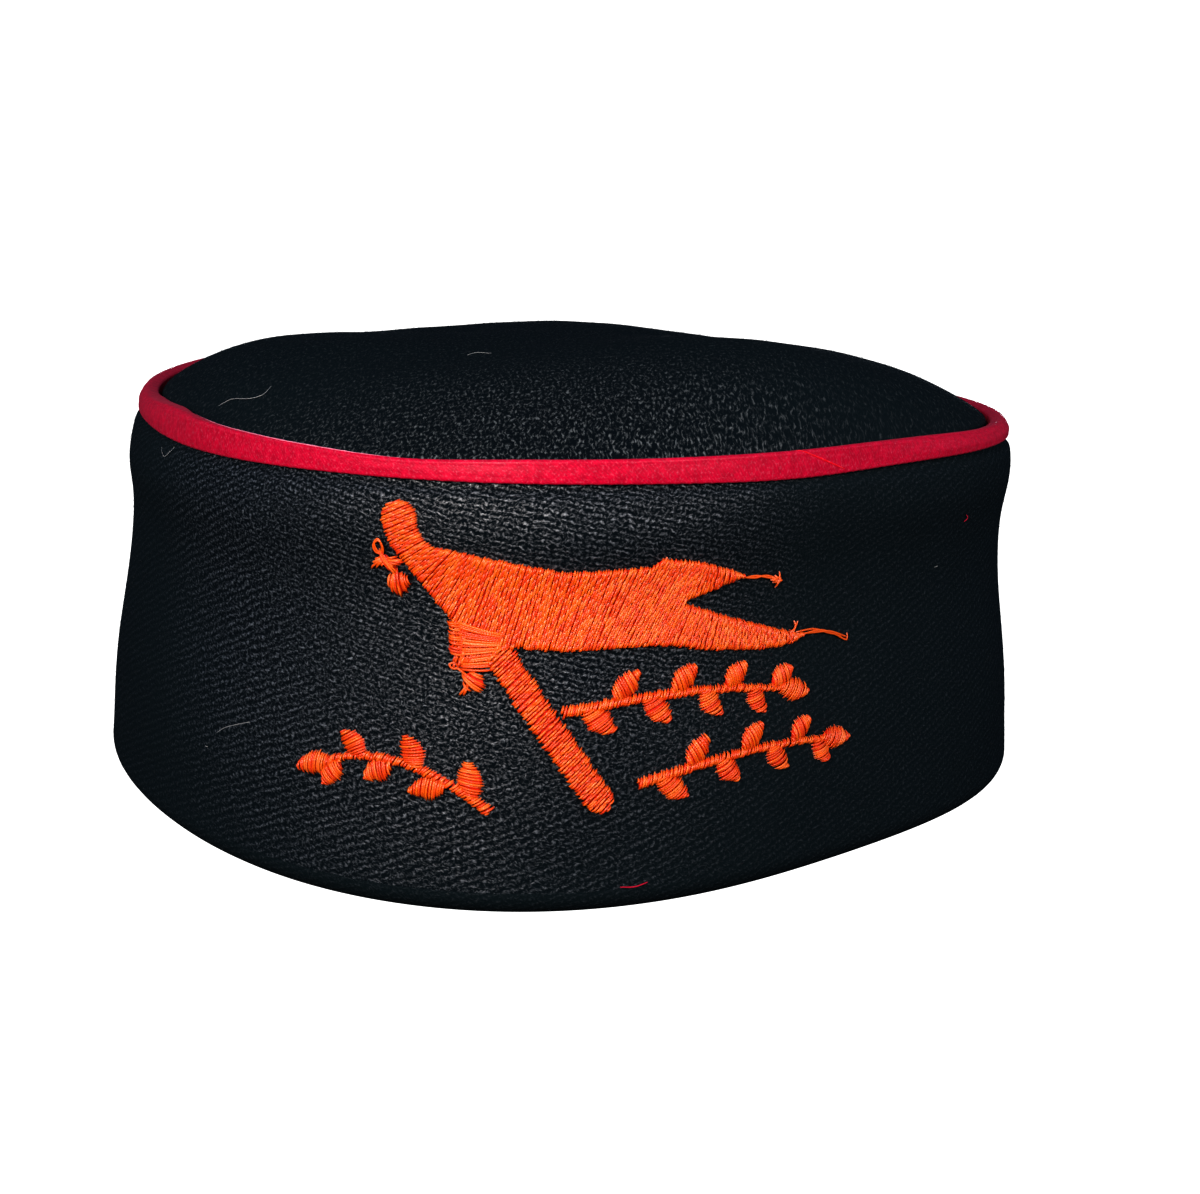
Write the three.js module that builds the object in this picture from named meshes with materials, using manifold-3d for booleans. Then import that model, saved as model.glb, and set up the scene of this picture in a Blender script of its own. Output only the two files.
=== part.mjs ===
// A Himachali cap: a round cap of black woollen cloth with a soft domed crown, a tall turned-up
// band, a crimson satin binding along the band's edge, and raised orange embroidery on its front.
// Millimetres, +Z up. The front of the band faces -Y, and the cap stands on its fold at Z = 0.

import * as THREE from "three";
import { mergeVertices } from "three/addons/utils/BufferGeometryUtils.js";
import { TessellateModifier } from "three/addons/modifiers/TessellateModifier.js";
import Module from "manifold-3d";

const wasm = await Module();
wasm.setup();

// Sizes of the whole cap
const HALF_WIDTH = 91.2; // of the band's outline at its top edge
const HALF_DEPTH = 100.9;
const RIM = 80.3; // height of the bound edge
const GAP = 0.3; // between pieces that touch
const FRONT = -Math.PI / 2;

// The plan is a soft oval, so its outline strays from an ellipse in three and four lobes.
const PLAN_LOBES = [
  { lobes: 3, cos: 0.034, sin: 0.03 },
  { lobes: 4, cos: 0.02, sin: 0 },
];
// The wall is wider at the floor than at the rim, by this much, and more so at the back.
const FLARE = 5;
const FLARE_LOBES = [
  { lobes: 1, cos: -1.2, sin: 1.9 },
  { lobes: 2, cos: 1.8, sin: 0 },
];
// The rim rises and falls as it goes round.
const RIM_LOBES = [
  { lobes: 1, cos: -0.9, sin: 2.6 },
  { lobes: 2, cos: -1.2, sin: -0.7 },
];
// The edge leans in a little on the cap's -X side, from one height to the other.
const LEAN = { from: 63, to: 75.5, by: 1.3 };
const PLAN_MIDDLE = { x: 1.98, y: -1.32 }; // of the lobed outline, moved to the origin

// Band: doubled cloth, folded under at the floor and hemmed inside
const BAND_CLOTH = 2.6;
const BAND_SWELLS = [
  { height: 69.3, reach: 8, size: 1.6 }, // a roll under the binding
  { height: 50, reach: 18, size: -1.6 }, // a waist
];
const FOLD_RADIUS = 4.8;
const FOLD_FLAT = 1;
const FOLD_CLOTH = 2.4;
const HEM_HEIGHT = 11;
const EDGE = { outside: -0.5, cloth: 1.6, thinFrom: 3.3, thinTo: 5.6 }; // pressed flat in its binding
const BACK_OPENING = { atFloor: 2, atRim: 20, corner: 14 }; // half widths, between the band's ends

// Binding: a strip folded over the band's edge
const BINDING_CLOTH = 1;
const BINDING_GAP = 0.25;
const BINDING_LEG = 2.9; // below the edge of the cloth inside it
const BINDING_ROUND = [ // of its two top corners: how far down, and how far in from its face
  { down: 2, in: 0 },
  { down: 1.1, in: 0.15 },
  { down: 0.4, in: 0.6 },
  { down: 0, in: 1.3 },
];
const BINDING_FOOT = 9; // height at which it ends on the band's two ends
const BAND_TOP = RIM - BINDING_CLOTH - GAP;

// Crown: a side wall that stands in the fold, and a round tip on it
const CROWN_CLOTH = 2.2;
const CROWN_START = -3.9; // of the side wall in the fold, against the band's outline at the floor
const CROWN_EDGE = -6; // of the tip, against the band's outline at the rim
const CROWN_DIP = 1.2; // of the tip's edge below the rim
const CROWN_RISE = 11.2;
const CROWN_FULLNESS = 4; // a high power makes a flat top with a round shoulder
const CROWN_LOBES = [
  { lobes: 1, reach: 1, cos: 0.27, sin: -0.25 },
  { lobes: 2, reach: 2, cos: 0.31, sin: -0.22 },
  { lobes: 3, reach: 2, cos: -0.3, sin: -0.36 },
];

// Embroidery
const STITCH_HEIGHT = 0.9;
const STITCH_FACET = 7; // longest edge, so that the facets follow the band
const STITCH_SPLITS = 12; // the most rounds of splitting that bring the edges down to it

const STATIONS = 60; // round the cap

const COLOURS = {
  wool: new THREE.MeshStandardMaterial({ color: 0x20252a, roughness: 0.95, metalness: 0 }),
  satin: new THREE.MeshStandardMaterial({ color: 0xd01538, roughness: 0.45, metalness: 0 }),
  thread: new THREE.MeshStandardMaterial({ color: 0xee4f22, roughness: 0.5, metalness: 0 }),
};

const mix = THREE.MathUtils.lerp;

function waves(table, angle, share = 1) {
  let sum = 0;
  for (const { lobes, cos, sin, reach = 0 } of table)
    sum += share ** reach * (cos * Math.cos(lobes * angle) + sin * Math.sin(lobes * angle));
  return sum;
}

// Outward direction in plan at an angle round the cap.
function outward(angle) {
  const normal = new THREE.Vector3(Math.cos(angle) / HALF_WIDTH, Math.sin(angle) / HALF_DEPTH, 0);
  return normal.normalize();
}

// The point at an angle round the cap, at a height, and offset outwards from the band's outline.
function place(angle, height, offset) {
  const share = THREE.MathUtils.clamp(height / RIM, 0, 1);
  const size = 1 + waves(PLAN_LOBES, angle);
  const flare = (FLARE + waves(FLARE_LOBES, angle)) * (1 - share);
  const leaning = THREE.MathUtils.smoothstep(height, LEAN.from, LEAN.to);
  const lean = (LEAN.by * leaning * (1 - Math.cos(angle))) / 2;
  const point = new THREE.Vector3(
    HALF_WIDTH * Math.cos(angle) * size - PLAN_MIDDLE.x,
    HALF_DEPTH * Math.sin(angle) * size - PLAN_MIDDLE.y,
    height + share * waves(RIM_LOBES, angle),
  );
  return point.addScaledVector(outward(angle), offset + flare - lean);
}

function swell(height) {
  let sum = 0;
  for (const { height: middle, reach, size } of BAND_SWELLS)
    sum += size * Math.exp(-(((height - middle) / reach) ** 2));
  return sum;
}

// Half the opening between the band's ends, at a height: a slant, and a round corner at the top.
function backOpening(height) {
  const { atFloor, atRim, corner } = BACK_OPENING;
  const slant = mix(atFloor, atRim, height / BAND_TOP);
  const rise = Math.max(height - (BAND_TOP - corner), 0);
  return slant + corner - Math.sqrt(Math.max(corner ** 2 - rise ** 2, 0));
}

// How far a point of the band lies from its cut edge, along the top or the end.
function edgeDistance(fromBack, height) {
  const { corner } = BACK_OPENING;
  const cornerHeight = BAND_TOP - corner;
  const cornerAlong = backOpening(cornerHeight) + corner;
  if (height > cornerHeight && fromBack < cornerAlong)
    return corner - Math.hypot(fromBack - cornerAlong, height - cornerHeight);
  return Math.min(BAND_TOP - height, fromBack - backOpening(height));
}

// The band's two faces, as offsets. The cloth is thinner where the binding grips it.
function bandFaces(fromBack, height) {
  const { outside, cloth, thinFrom, thinTo } = EDGE;
  const gripped = height < BINDING_FOOT - 1;
  const full = gripped ? 1 : THREE.MathUtils.smoothstep(edgeDistance(fromBack, height), thinFrom, thinTo);
  return {
    outer: mix(outside, swell(height), full),
    inner: mix(outside - cloth, swell(height) - BAND_CLOTH, full),
  };
}

const CROWN_FOOT = FOLD_CLOTH + GAP;
const CROWN_TOP_SEAM = RIM - CROWN_DIP - CROWN_CLOTH - GAP;

// Outer face of the crown's side wall, which leans inwards from the fold to the tip's edge.
function crownFace(height) {
  return mix(CROWN_START, CROWN_EDGE, (height - CROWN_FOOT) / (CROWN_TOP_SEAM - CROWN_FOOT));
}

// A closed solid through loops of points, each loop one cross-section. It runs on from the last
// loop to the first where it goes right round, and has flat ends where it doesn't.
function loft(loops, closed) {
  const across = loops[0].length;
  const vertices = loops.flat();
  const index = [];
  const spans = closed ? loops.length : loops.length - 1;
  for (let i = 0; i < spans; i++)
    for (let j = 0; j < across; j++) {
      const a = i * across + j;
      const b = i * across + ((j + 1) % across);
      const c = ((i + 1) % loops.length) * across + j;
      const d = ((i + 1) % loops.length) * across + ((j + 1) % across);
      index.push(a, c, b, b, c, d);
    }
  return { vertices, index, across };
}

function solid({ vertices, index }) {
  const geometry = new THREE.BufferGeometry().setFromPoints(vertices);
  geometry.setIndex(index);
  geometry.computeVertexNormals();
  return geometry;
}

// Closes both ends of an open loft with the triangles of its flat outline.
function capEnds(shape, outline) {
  const faces = THREE.ShapeUtils.triangulateShape(outline, []);
  const last = shape.vertices.length - shape.across;
  for (const [a, b, c] of faces) {
    shape.index.push(a, b, c);
    shape.index.push(last + c, last + b, last + a);
  }
  return shape;
}

// Angles of the cap's stations, from the back round the front to the back again.
function* stationAngles() {
  for (let i = 0; i < STATIONS; i++) yield FRONT + ((i + 0.5) / STATIONS - 0.5) * 2 * Math.PI;
}

// Band

// Heights at which the band's outer and inner walls have a corner.
const OUTER_ROWS = [FOLD_RADIUS, 8, 16, 27, 38, 49, 60, 65, 69.8, 73.4, 75.7, 77.8, BAND_TOP];
const INNER_ROWS = [BAND_TOP, 77.8, 75.7, 73.4, 69.8, 65, 50, 30, 8];

// Cross-section of the band at a distance round from the back, as offset and height pairs:
// up the outer wall, down the inner one, round the fold and the hem, and back under the floor.
function bandOutline(fromEnd) {
  const points = [];
  const add = (offset, height) => points.push(new THREE.Vector2(offset, height));
  const faces = (height) => bandFaces(fromEnd + backOpening(height), height);
  for (const height of OUTER_ROWS) add(faces(height).outer, height);
  for (const height of INNER_ROWS) add(faces(height).inner, height);
  const channel = (height) => crownFace(height) - CROWN_CLOTH - GAP;
  add(-BAND_CLOTH, FOLD_CLOTH);
  add(channel(FOLD_CLOTH), FOLD_CLOTH);
  add(channel(HEM_HEIGHT), HEM_HEIGHT);
  add(channel(HEM_HEIGHT) - FOLD_CLOTH, HEM_HEIGHT);
  const hemFace = channel(FOLD_CLOTH) - FOLD_CLOTH;
  const flatEnd = -(FOLD_RADIUS + FOLD_FLAT);
  const innerRadius = flatEnd - hemFace;
  for (const turn of [0, 45, 90]) {
    const angle = THREE.MathUtils.degToRad(turn);
    add(flatEnd - innerRadius * Math.cos(angle), innerRadius * (1 - Math.sin(angle)));
  }
  for (const turn of [0, 22.5, 45, 67.5]) {
    const angle = THREE.MathUtils.degToRad(turn);
    add(-FOLD_RADIUS + FOLD_RADIUS * Math.sin(angle), FOLD_RADIUS * (1 - Math.cos(angle)));
  }
  return points;
}

function makeBand() {
  const halfRound = Math.PI * HALF_WIDTH;
  const fromEnds = [0, EDGE.thinFrom + 0.1, EDGE.thinTo + 0.2]; // the edge, then both ends of its taper
  const spans = STATIONS - 2;
  const sides = [];
  for (const distance of fromEnds) sides.push({ side: -1, distance });
  for (let i = 1; i < spans; i++) {
    const along = (i / spans) * 2 - 1;
    sides.push({ side: Math.sign(along) || 1, distance: (1 - Math.abs(along)) * halfRound });
  }
  for (const distance of fromEnds.toReversed()) sides.push({ side: 1, distance });
  const loops = sides.map(({ side, distance }) => {
    const share = 1 - distance / halfRound;
    return bandOutline(distance).map(({ x: offset, y: height }) => {
      const reach = Math.PI - backOpening(height) / HALF_WIDTH;
      return place(FRONT + side * share * reach, height, offset);
    });
  });
  return solid(capEnds(loft(loops, false), bandOutline(0)));
}

// Binding

// The band's cut edge as a path of distances from the back and heights, on one side of the back.
function edgePath() {
  const { corner } = BACK_OPENING;
  const cornerHeight = BAND_TOP - corner;
  const path = [];
  const rises = 4;
  for (let i = 0; i < rises; i++) {
    const height = mix(BINDING_FOOT, cornerHeight, i / rises);
    path.push({ fromBack: backOpening(height), height });
  }
  const turns = 8;
  for (let i = 0; i <= turns; i++) {
    const angle = (i / turns) * (Math.PI / 2);
    const height = cornerHeight + corner * Math.sin(angle);
    path.push({ fromBack: backOpening(height), height });
  }
  const runs = STATIONS / 2;
  const start = backOpening(BAND_TOP);
  for (let i = 1; i <= runs; i++) {
    const fromBack = mix(start, Math.PI * HALF_WIDTH, i / runs);
    path.push({ fromBack, height: BAND_TOP });
  }
  return path;
}

function makeBinding() {
  const middle = EDGE.outside - EDGE.cloth / 2;
  const left = edgePath().map(({ fromBack, height }) => ({
    angle: FRONT - Math.PI + fromBack / HALF_WIDTH,
    height,
  }));
  const right = left.slice(0, -1).toReversed();
  const path = [...left, ...right.map(({ angle, height }) => ({ angle: 2 * FRONT - angle, height }))];
  const points = path.map(({ angle, height }) => place(angle, height, middle));

  // The strip's section: how far from the edge into the band, and how far out from its middle.
  const inside = EDGE.cloth / 2 + BINDING_GAP;
  const face = inside + BINDING_CLOTH;
  const top = GAP + BINDING_CLOTH;
  const half = [[BINDING_LEG, face], ...BINDING_ROUND.map((corner) => [corner.down - top, face - corner.in])];
  const mirrored = half.toReversed().map(([depth, out]) => [depth, -out]);
  const channel = [
    [BINDING_LEG, -inside],
    [-GAP, -inside],
    [-GAP, inside],
    [BINDING_LEG, inside],
  ];
  const section = [...half, ...mirrored, ...channel].map(([depth, out]) => new THREE.Vector2(depth, out));

  const loops = points.map((point, i) => {
    const before = points[Math.max(i - 1, 0)];
    const after = points[Math.min(i + 1, points.length - 1)];
    const along = after.clone().sub(before).normalize();
    const out = outward(path[i].angle);
    const into = along.clone().cross(out).normalize();
    return section.map(({ x: depth, y: offset }) =>
      point.clone().addScaledVector(into, depth).addScaledVector(out, offset),
    );
  });
  return solid(capEnds(loft(loops, false), section));
}

// Crown

function makeCrownWall() {
  const rows = [CROWN_FOOT, 28, 53, CROWN_TOP_SEAM];
  const section = [
    ...rows.map((height) => [crownFace(height), height]),
    ...rows.toReversed().map((height) => [crownFace(height) - CROWN_CLOTH, height]),
  ];
  const loops = [...stationAngles()].map((angle) =>
    section.map(([offset, height]) => place(angle, height, offset)),
  );
  return solid(loft(loops, true));
}

// A point of the crown's tip, at an angle and a share of the way from its middle to its edge.
function tipPoint(angle, share, under) {
  const edge = place(angle, RIM, CROWN_EDGE);
  const middle = new THREE.Vector2(-PLAN_MIDDLE.x, -PLAN_MIDDLE.y);
  const dome = 1 - share ** CROWN_FULLNESS;
  const rise = CROWN_RISE * dome * (1 + waves(CROWN_LOBES, angle, share));
  const rim = mix(RIM, edge.z, share) - CROWN_DIP * (1 - dome);
  return new THREE.Vector3(mix(middle.x, edge.x, share), mix(middle.y, edge.y, share), rim + rise - under);
}

function makeCrownTop() {
  const shares = [0.2, 0.4, 0.6, 0.75, 0.87, 0.95, 1];
  const underShares = [1, 0.9, 0.75, 0.5, 0.25];
  const rings = [
    ...shares.map((share) => ({ share, under: 0 })),
    ...underShares.map((share) => ({ share, under: CROWN_CLOTH })),
  ];
  const angles = [...stationAngles()];
  const vertices = rings.flatMap(({ share, under }) => angles.map((angle) => tipPoint(angle, share, under)));
  const index = [];
  for (let ring = 0; ring < rings.length - 1; ring++)
    for (let i = 0; i < STATIONS; i++) {
      const next = (i + 1) % STATIONS;
      const [a, b] = [ring * STATIONS + i, ring * STATIONS + next];
      const [c, d] = [a + STATIONS, b + STATIONS];
      index.push(a, c, b, b, c, d);
    }
  const last = (rings.length - 1) * STATIONS;
  const top = vertices.push(tipPoint(0, 0, 0)) - 1;
  const bottom = vertices.push(tipPoint(0, 0, CROWN_CLOTH)) - 1;
  for (let i = 0; i < STATIONS; i++) {
    const next = (i + 1) % STATIONS;
    index.push(top, i, next);
    index.push(bottom, last + next, last + i);
  }
  return solid({ vertices, index });
}

// Embroidery: flat outlines in millimetres along the band from its front middle, and up from the
// floor, which are raised and then laid round the band.

// Angles for distances along the rim, from the front middle.
const RIM_STEPS = 720;
const rimTable = [];
for (let i = 0, along = 0, before = null; i <= RIM_STEPS; i++) {
  const angle = FRONT + (i / RIM_STEPS - 0.5) * Math.PI;
  const point = place(angle, RIM, 0).setZ(0);
  if (before) along += point.distanceTo(before);
  rimTable.push({ angle, along });
  before = point;
}
const rimMiddle = rimTable[RIM_STEPS / 2].along;

function angleAlong(along) {
  const next = rimTable.findIndex((step) => step.along - rimMiddle >= along);
  const [a, b] = [rimTable[next - 1], rimTable[next]];
  return mix(a.angle, b.angle, (along + rimMiddle - a.along) / (b.along - a.along));
}

function raised(shape, curveSegments = 5) {
  const settings = { depth: STITCH_HEIGHT, bevelEnabled: false, curveSegments };
  const geometry = new THREE.ExtrudeGeometry(shape, settings);
  geometry.deleteAttribute("normal");
  geometry.deleteAttribute("uv");
  const merged = mergeVertices(geometry, 1e-4);
  const mesh = { numProp: 3, vertProperties: merged.attributes.position.array, triVerts: merged.index.array };
  return new wasm.Manifold(new wasm.Mesh(mesh));
}

// Joins flat raised shapes into one and lays the result on the band.
function layOnBand(pieces) {
  const joined = pieces.reduce((sum, piece) => sum.add(piece));
  const { numProp, vertProperties, triVerts } = joined.getMesh();
  const flat = new THREE.BufferGeometry();
  flat.setAttribute("position", new THREE.BufferAttribute(new Float32Array(vertProperties), numProp));
  flat.setIndex([...triVerts]);
  const fine = new TessellateModifier(STITCH_FACET, STITCH_SPLITS).modify(flat);
  const position = fine.getAttribute("position");
  for (let i = 0; i < position.count; i++) {
    const height = position.getY(i);
    const offset = swell(height) + GAP + position.getZ(i);
    position.setXYZ(i, ...place(angleAlong(position.getX(i)), height, offset));
  }
  const laid = mergeVertices(fine, 1e-4);
  laid.computeVertexNormals();
  return laid;
}

const KNOB = {
  along: -23.6,
  up: 69.5,
  radius: 3.2,
  neck: -0.32, // angle round the knob at which the neck's top edge starts, in radians
};
const PENNANT = {
  topEdge: [
    { along: -18.3, up: 65.4 },
    { along: -13.3, up: 64.4 },
    { along: -0.2, up: 62.1 },
    { along: 5, up: 61.5 },
    { along: 18.8, up: 61.9 },
  ],
  spike: { along: 20.8, up: 63.2 },
  upperTail: { along: 38.8, up: 58.6, bow: { along: 31, up: 62.2 } },
  fork: { along: 25.6, up: 55 },
  lowerTail: { along: 54.5, up: 46.2, bow: { along: 38, up: 50.2 } },
  bottomEdge: [
    { along: 48, up: 44.6 },
    { along: 34, up: 45.6 },
    { along: 19.6, up: 47.7 },
    { along: 3.5, up: 47.6 },
    { along: -4.1, up: 48.1 },
  ],
  foot: [
    { along: -10.2, up: 45.4 },
    { along: -14.2, up: 44.4 },
    { along: -15, up: 52.5 },
  ],
  hoist: [
    { along: -20.4, up: 58.8 },
    { along: -25.1, up: 64.6 },
    { along: -26.4, up: 68 },
  ],
};
const STAFF = { top: { along: -6.2, up: 46.2 }, foot: { along: 10.7, up: 21.5 }, width: 4.8 };
const TASSELS = {
  upper_tassel: {
    knot: { along: -27, up: 65.2 },
    tails: [{ along: -28.7, up: 59.6 }, { along: -23.9, up: 57.3 }],
  },
  lower_tassel: {
    knot: { along: -13.3, up: 43.3 },
    tails: [{ along: -9.2, up: 40.4 }, { along: -13, up: 39.2 }],
  },
};
const TASSEL_WIDTH = 2.6;

// Leafy sprigs: a bowed stem with leaves on alternate sides and one at its tip.
const SPRIGS = {
  left_sprig: {
    root: { along: -7.5, up: 19.5 },
    bow: { along: -22, up: 31 },
    tip: { along: -36.5, up: 25.5 },
    leaves: 6,
  },
  upper_vine: {
    root: { along: 4, up: 37 },
    bow: { along: 26, up: 41 },
    tip: { along: 48, up: 37 },
    leaves: 8,
  },
  lower_vine: {
    root: { along: 17.5, up: 23.6 },
    bow: { along: 38, up: 28.4 },
    tip: { along: 59, up: 26 },
    leaves: 7,
  },
};
const STEM = { width: 1.9, atTip: 0.6 }; // and the share of it left at the tip
const LEAF = {
  length: 7.6, // of the first, nearest the root
  atTip: 0.8, // share of that length left at the tip
  width: 4.2,
  widest: 0.45, // at this share of its length
  slant: 43, // degrees from the stem
  overlap: 0.1, // of the last leaf on the stem's end, as a share of its length
};

const flatPoint = ({ along, up }) => new THREE.Vector2(along, up);

// A pointed leaf between two points.
function leafShape(base, tip, width) {
  const middle = base.clone().lerp(tip, LEAF.widest);
  const side = tip.clone().sub(base).normalize().rotateAround(new THREE.Vector2(), Math.PI / 2);
  const left = middle.clone().addScaledVector(side, width);
  const right = middle.clone().addScaledVector(side, -width);
  const shape = new THREE.Shape();
  shape.moveTo(base.x, base.y);
  shape.quadraticCurveTo(right.x, right.y, tip.x, tip.y);
  shape.quadraticCurveTo(left.x, left.y, base.x, base.y);
  return shape;
}

function makePennant() {
  const { topEdge, spike, upperTail, fork, lowerTail, bottomEdge, foot, hoist } = PENNANT;
  const shape = new THREE.Shape();
  const line = ({ along, up }) => shape.lineTo(along, up);
  const knob = new THREE.Shape();
  knob.absarc(KNOB.along, KNOB.up, KNOB.radius, 0, 2 * Math.PI, false);
  const neck = new THREE.Vector2(KNOB.radius, 0).rotateAround(new THREE.Vector2(), KNOB.neck);
  shape.moveTo(KNOB.along + neck.x, KNOB.up + neck.y);
  shape.splineThru(topEdge.map(flatPoint));
  line(spike);
  shape.quadraticCurveTo(upperTail.bow.along, upperTail.bow.up, upperTail.along, upperTail.up);
  line(fork);
  shape.quadraticCurveTo(lowerTail.bow.along, lowerTail.bow.up, lowerTail.along, lowerTail.up);
  shape.splineThru(bottomEdge.map(flatPoint));
  foot.forEach(line);
  hoist.forEach(line);
  return layOnBand([raised(shape, 3), raised(knob, 7)]);
}

function makeStaff() {
  const [top, foot] = [flatPoint(STAFF.top), flatPoint(STAFF.foot)];
  const heading = Math.atan2(foot.y - top.y, foot.x - top.x);
  const side = new THREE.Vector2(Math.cos(heading + Math.PI / 2), Math.sin(heading + Math.PI / 2));
  const half = STAFF.width / 2;
  const shape = new THREE.Shape();
  const right = top.clone().addScaledVector(side, half);
  const left = top.clone().addScaledVector(side, -half);
  shape.moveTo(right.x, right.y);
  shape.lineTo(left.x, left.y);
  shape.absarc(foot.x, foot.y, half, heading - Math.PI / 2, heading + Math.PI / 2, false);
  return layOnBand([raised(shape, 6)]);
}

function makeTassel({ knot, tails }) {
  const base = flatPoint(knot);
  const leaves = tails.map((tail) => raised(leafShape(base, flatPoint(tail), TASSEL_WIDTH)));
  const tie = new THREE.Shape();
  tie.absarc(base.x, base.y - TASSEL_WIDTH / 3, TASSEL_WIDTH / 3, 0, 2 * Math.PI, false);
  return layOnBand([raised(tie, 4), ...leaves]);
}

function turned(vector, degrees) {
  return vector.clone().rotateAround(new THREE.Vector2(), THREE.MathUtils.degToRad(degrees));
}

function makeSprig({ root, bow, tip, leaves }) {
  const curve = new THREE.QuadraticBezierCurve(flatPoint(root), flatPoint(bow), flatPoint(tip));
  const steps = 10;
  const sides = [[], []];
  for (let i = 0; i <= steps; i++) {
    const share = i / steps;
    const half = (STEM.width / 2) * mix(1, STEM.atTip, share);
    const across = turned(curve.getTangentAt(share), 90);
    sides[0].push(curve.getPointAt(share).addScaledVector(across, -half));
    sides[1].unshift(curve.getPointAt(share).addScaledVector(across, half));
  }
  const pieces = [raised(new THREE.Shape(sides.flat()))];
  for (let i = 0; i < leaves; i++) {
    const share = (i + 0.6) / leaves;
    const side = i % 2 ? 1 : -1;
    const base = curve.getPointAt(share);
    const heading = turned(curve.getTangentAt(share), side * LEAF.slant);
    const length = LEAF.length * mix(1, LEAF.atTip, share);
    const end = base.clone().addScaledVector(heading, length);
    pieces.push(raised(leafShape(base, end, LEAF.width), 4));
  }
  const last = flatPoint(tip);
  const end = last.clone().addScaledVector(curve.getTangentAt(1), LEAF.length);
  pieces.push(raised(leafShape(last.clone().lerp(end, -LEAF.overlap), end, LEAF.width), 4));
  return layOnBand(pieces);
}

// The cap

const group = new THREE.Group();
function add(name, geometry, material) {
  const mesh = new THREE.Mesh(geometry, material);
  mesh.name = name;
  group.add(mesh);
}

add("crown_top", makeCrownTop(), COLOURS.wool);
add("crown_wall", makeCrownWall(), COLOURS.wool);
add("band", makeBand(), COLOURS.wool);
add("band_binding", makeBinding(), COLOURS.satin);
add("pennant", makePennant(), COLOURS.thread);
add("staff", makeStaff(), COLOURS.thread);
for (const [name, tassel] of Object.entries(TASSELS)) add(name, makeTassel(tassel), COLOURS.thread);
for (const [name, sprig] of Object.entries(SPRIGS)) add(name, makeSprig(sprig), COLOURS.thread);

export default group;
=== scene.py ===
"""The looks of a Himachali cap: brushed black wool, a crimson satin binding and orange machine embroidery.

Shapes repeat the frame's own formulas in millimetres, finely enough for a close view, and turn to metres in
their meshes. The front of the band faces -Y and the cap stands at Z = 0.
"""

import logging
import math
from dataclasses import dataclass, field
from enum import Enum
from functools import cached_property
from typing import Any, Sequence

import bmesh
import bpy
import numpy as np
from mathutils import Matrix, Vector
from mathutils.geometry import delaunay_2d_cdt


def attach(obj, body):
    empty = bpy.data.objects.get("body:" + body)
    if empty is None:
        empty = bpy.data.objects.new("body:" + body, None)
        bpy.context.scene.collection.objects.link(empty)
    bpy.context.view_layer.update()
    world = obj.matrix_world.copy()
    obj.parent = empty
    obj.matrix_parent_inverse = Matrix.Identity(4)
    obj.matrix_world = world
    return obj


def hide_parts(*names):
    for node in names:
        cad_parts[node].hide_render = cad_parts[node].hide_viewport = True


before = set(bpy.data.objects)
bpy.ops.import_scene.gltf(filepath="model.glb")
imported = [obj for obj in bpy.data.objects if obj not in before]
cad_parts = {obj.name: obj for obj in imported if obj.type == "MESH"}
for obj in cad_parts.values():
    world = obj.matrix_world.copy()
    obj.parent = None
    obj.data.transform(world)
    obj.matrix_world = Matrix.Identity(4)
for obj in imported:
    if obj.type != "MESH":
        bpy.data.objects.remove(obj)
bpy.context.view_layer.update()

LOG = logging.getLogger("himachali_cap")
Array = np.ndarray
Piece = bpy.types.Object
Socket = bpy.types.NodeSocket
Tree = bpy.types.NodeTree
Pair = tuple[float, float]  # a place on the band's front, along the rim and up, or two limits
Route = tuple[Pair, ...]
Line = tuple[tuple[float, float, float], ...]  # such places, each with a lift or a slant

MM = 0.001  # metres in a millimetre
FRONT = -math.pi / 2
FLAT_MAP = "Flat"  # the UV map of every piece: its cloth or thread laid flat, in millimetres
STRAIGHT_BANDS = 20  # how far the wave node's phase goes in one unit at a scale of one, in radians
DIAGONAL_BANDS = 10 * math.sqrt(2)
UPWARDS = np.array([0.0, 0.0, 1.0])
GOLDEN_ANGLE = 137.5  # degrees: spreads any number of threads evenly
SEED = 11


# Numbers


def smoothstep(value: Array, low: float, high: float) -> Array:
    """Returns 0 below low, 1 above high, and a smooth rise between them."""
    share = np.clip((value - low) / (high - low), 0, 1)
    return share * share * (3 - 2 * share)


def mix(first: Any, last: Any, share: Any) -> Any:
    """Returns the value at a share of the way from first to last."""
    return first + (last - first) * share


def unit(vectors: Array) -> Array:
    """Returns the vectors at length one."""
    return vectors / np.maximum(np.linalg.norm(vectors, axis=-1, keepdims=True), 1e-9)


def heading(degrees: Any) -> Array:
    """Returns the flat direction at an angle in degrees."""
    turn = np.radians(degrees)
    return np.stack([np.cos(turn), np.sin(turn)], -1)


def left_of(ways: Array) -> Array:
    """Returns flat directions turned a quarter to the left."""
    return np.stack([-ways[..., 1], ways[..., 0]], -1)


def turn_of(way: Array) -> float:
    """Returns a flat direction's angle in degrees."""
    return math.degrees(math.atan2(way[1], way[0]))


def run_of(points: Array) -> Array:
    """Returns each point's distance from the first, along the line through them."""
    return np.concatenate([[0], np.cumsum(np.linalg.norm(np.diff(points, axis=0), axis=1))])


def looked_up(wanted: Any, knots: Array, table: Array) -> Array:
    """Returns the rows of a table at wanted places between its knots."""
    return np.stack([np.interp(wanted, knots, column) for column in table.T], -1)


def by_length(points: Array, shares: Array) -> Array:
    """Returns the points at shares of a line's length, from 0 at its start to 1 at its end."""
    along = run_of(points)
    return looked_up(np.asarray(shares) * along[-1], along, points)


# The cap's shape


@dataclass(frozen=True)
class Lobe:
    """One wave round a closed outline: how often it comes, its two sizes, and how it fades inwards."""

    lobes: int
    cos: float
    sin: float
    reach: int = 0


@dataclass(frozen=True)
class Swell:
    """A soft swelling: where it is along a height or a length, how far it reaches, and its size."""

    at: float
    reach: float
    size: float


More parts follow.
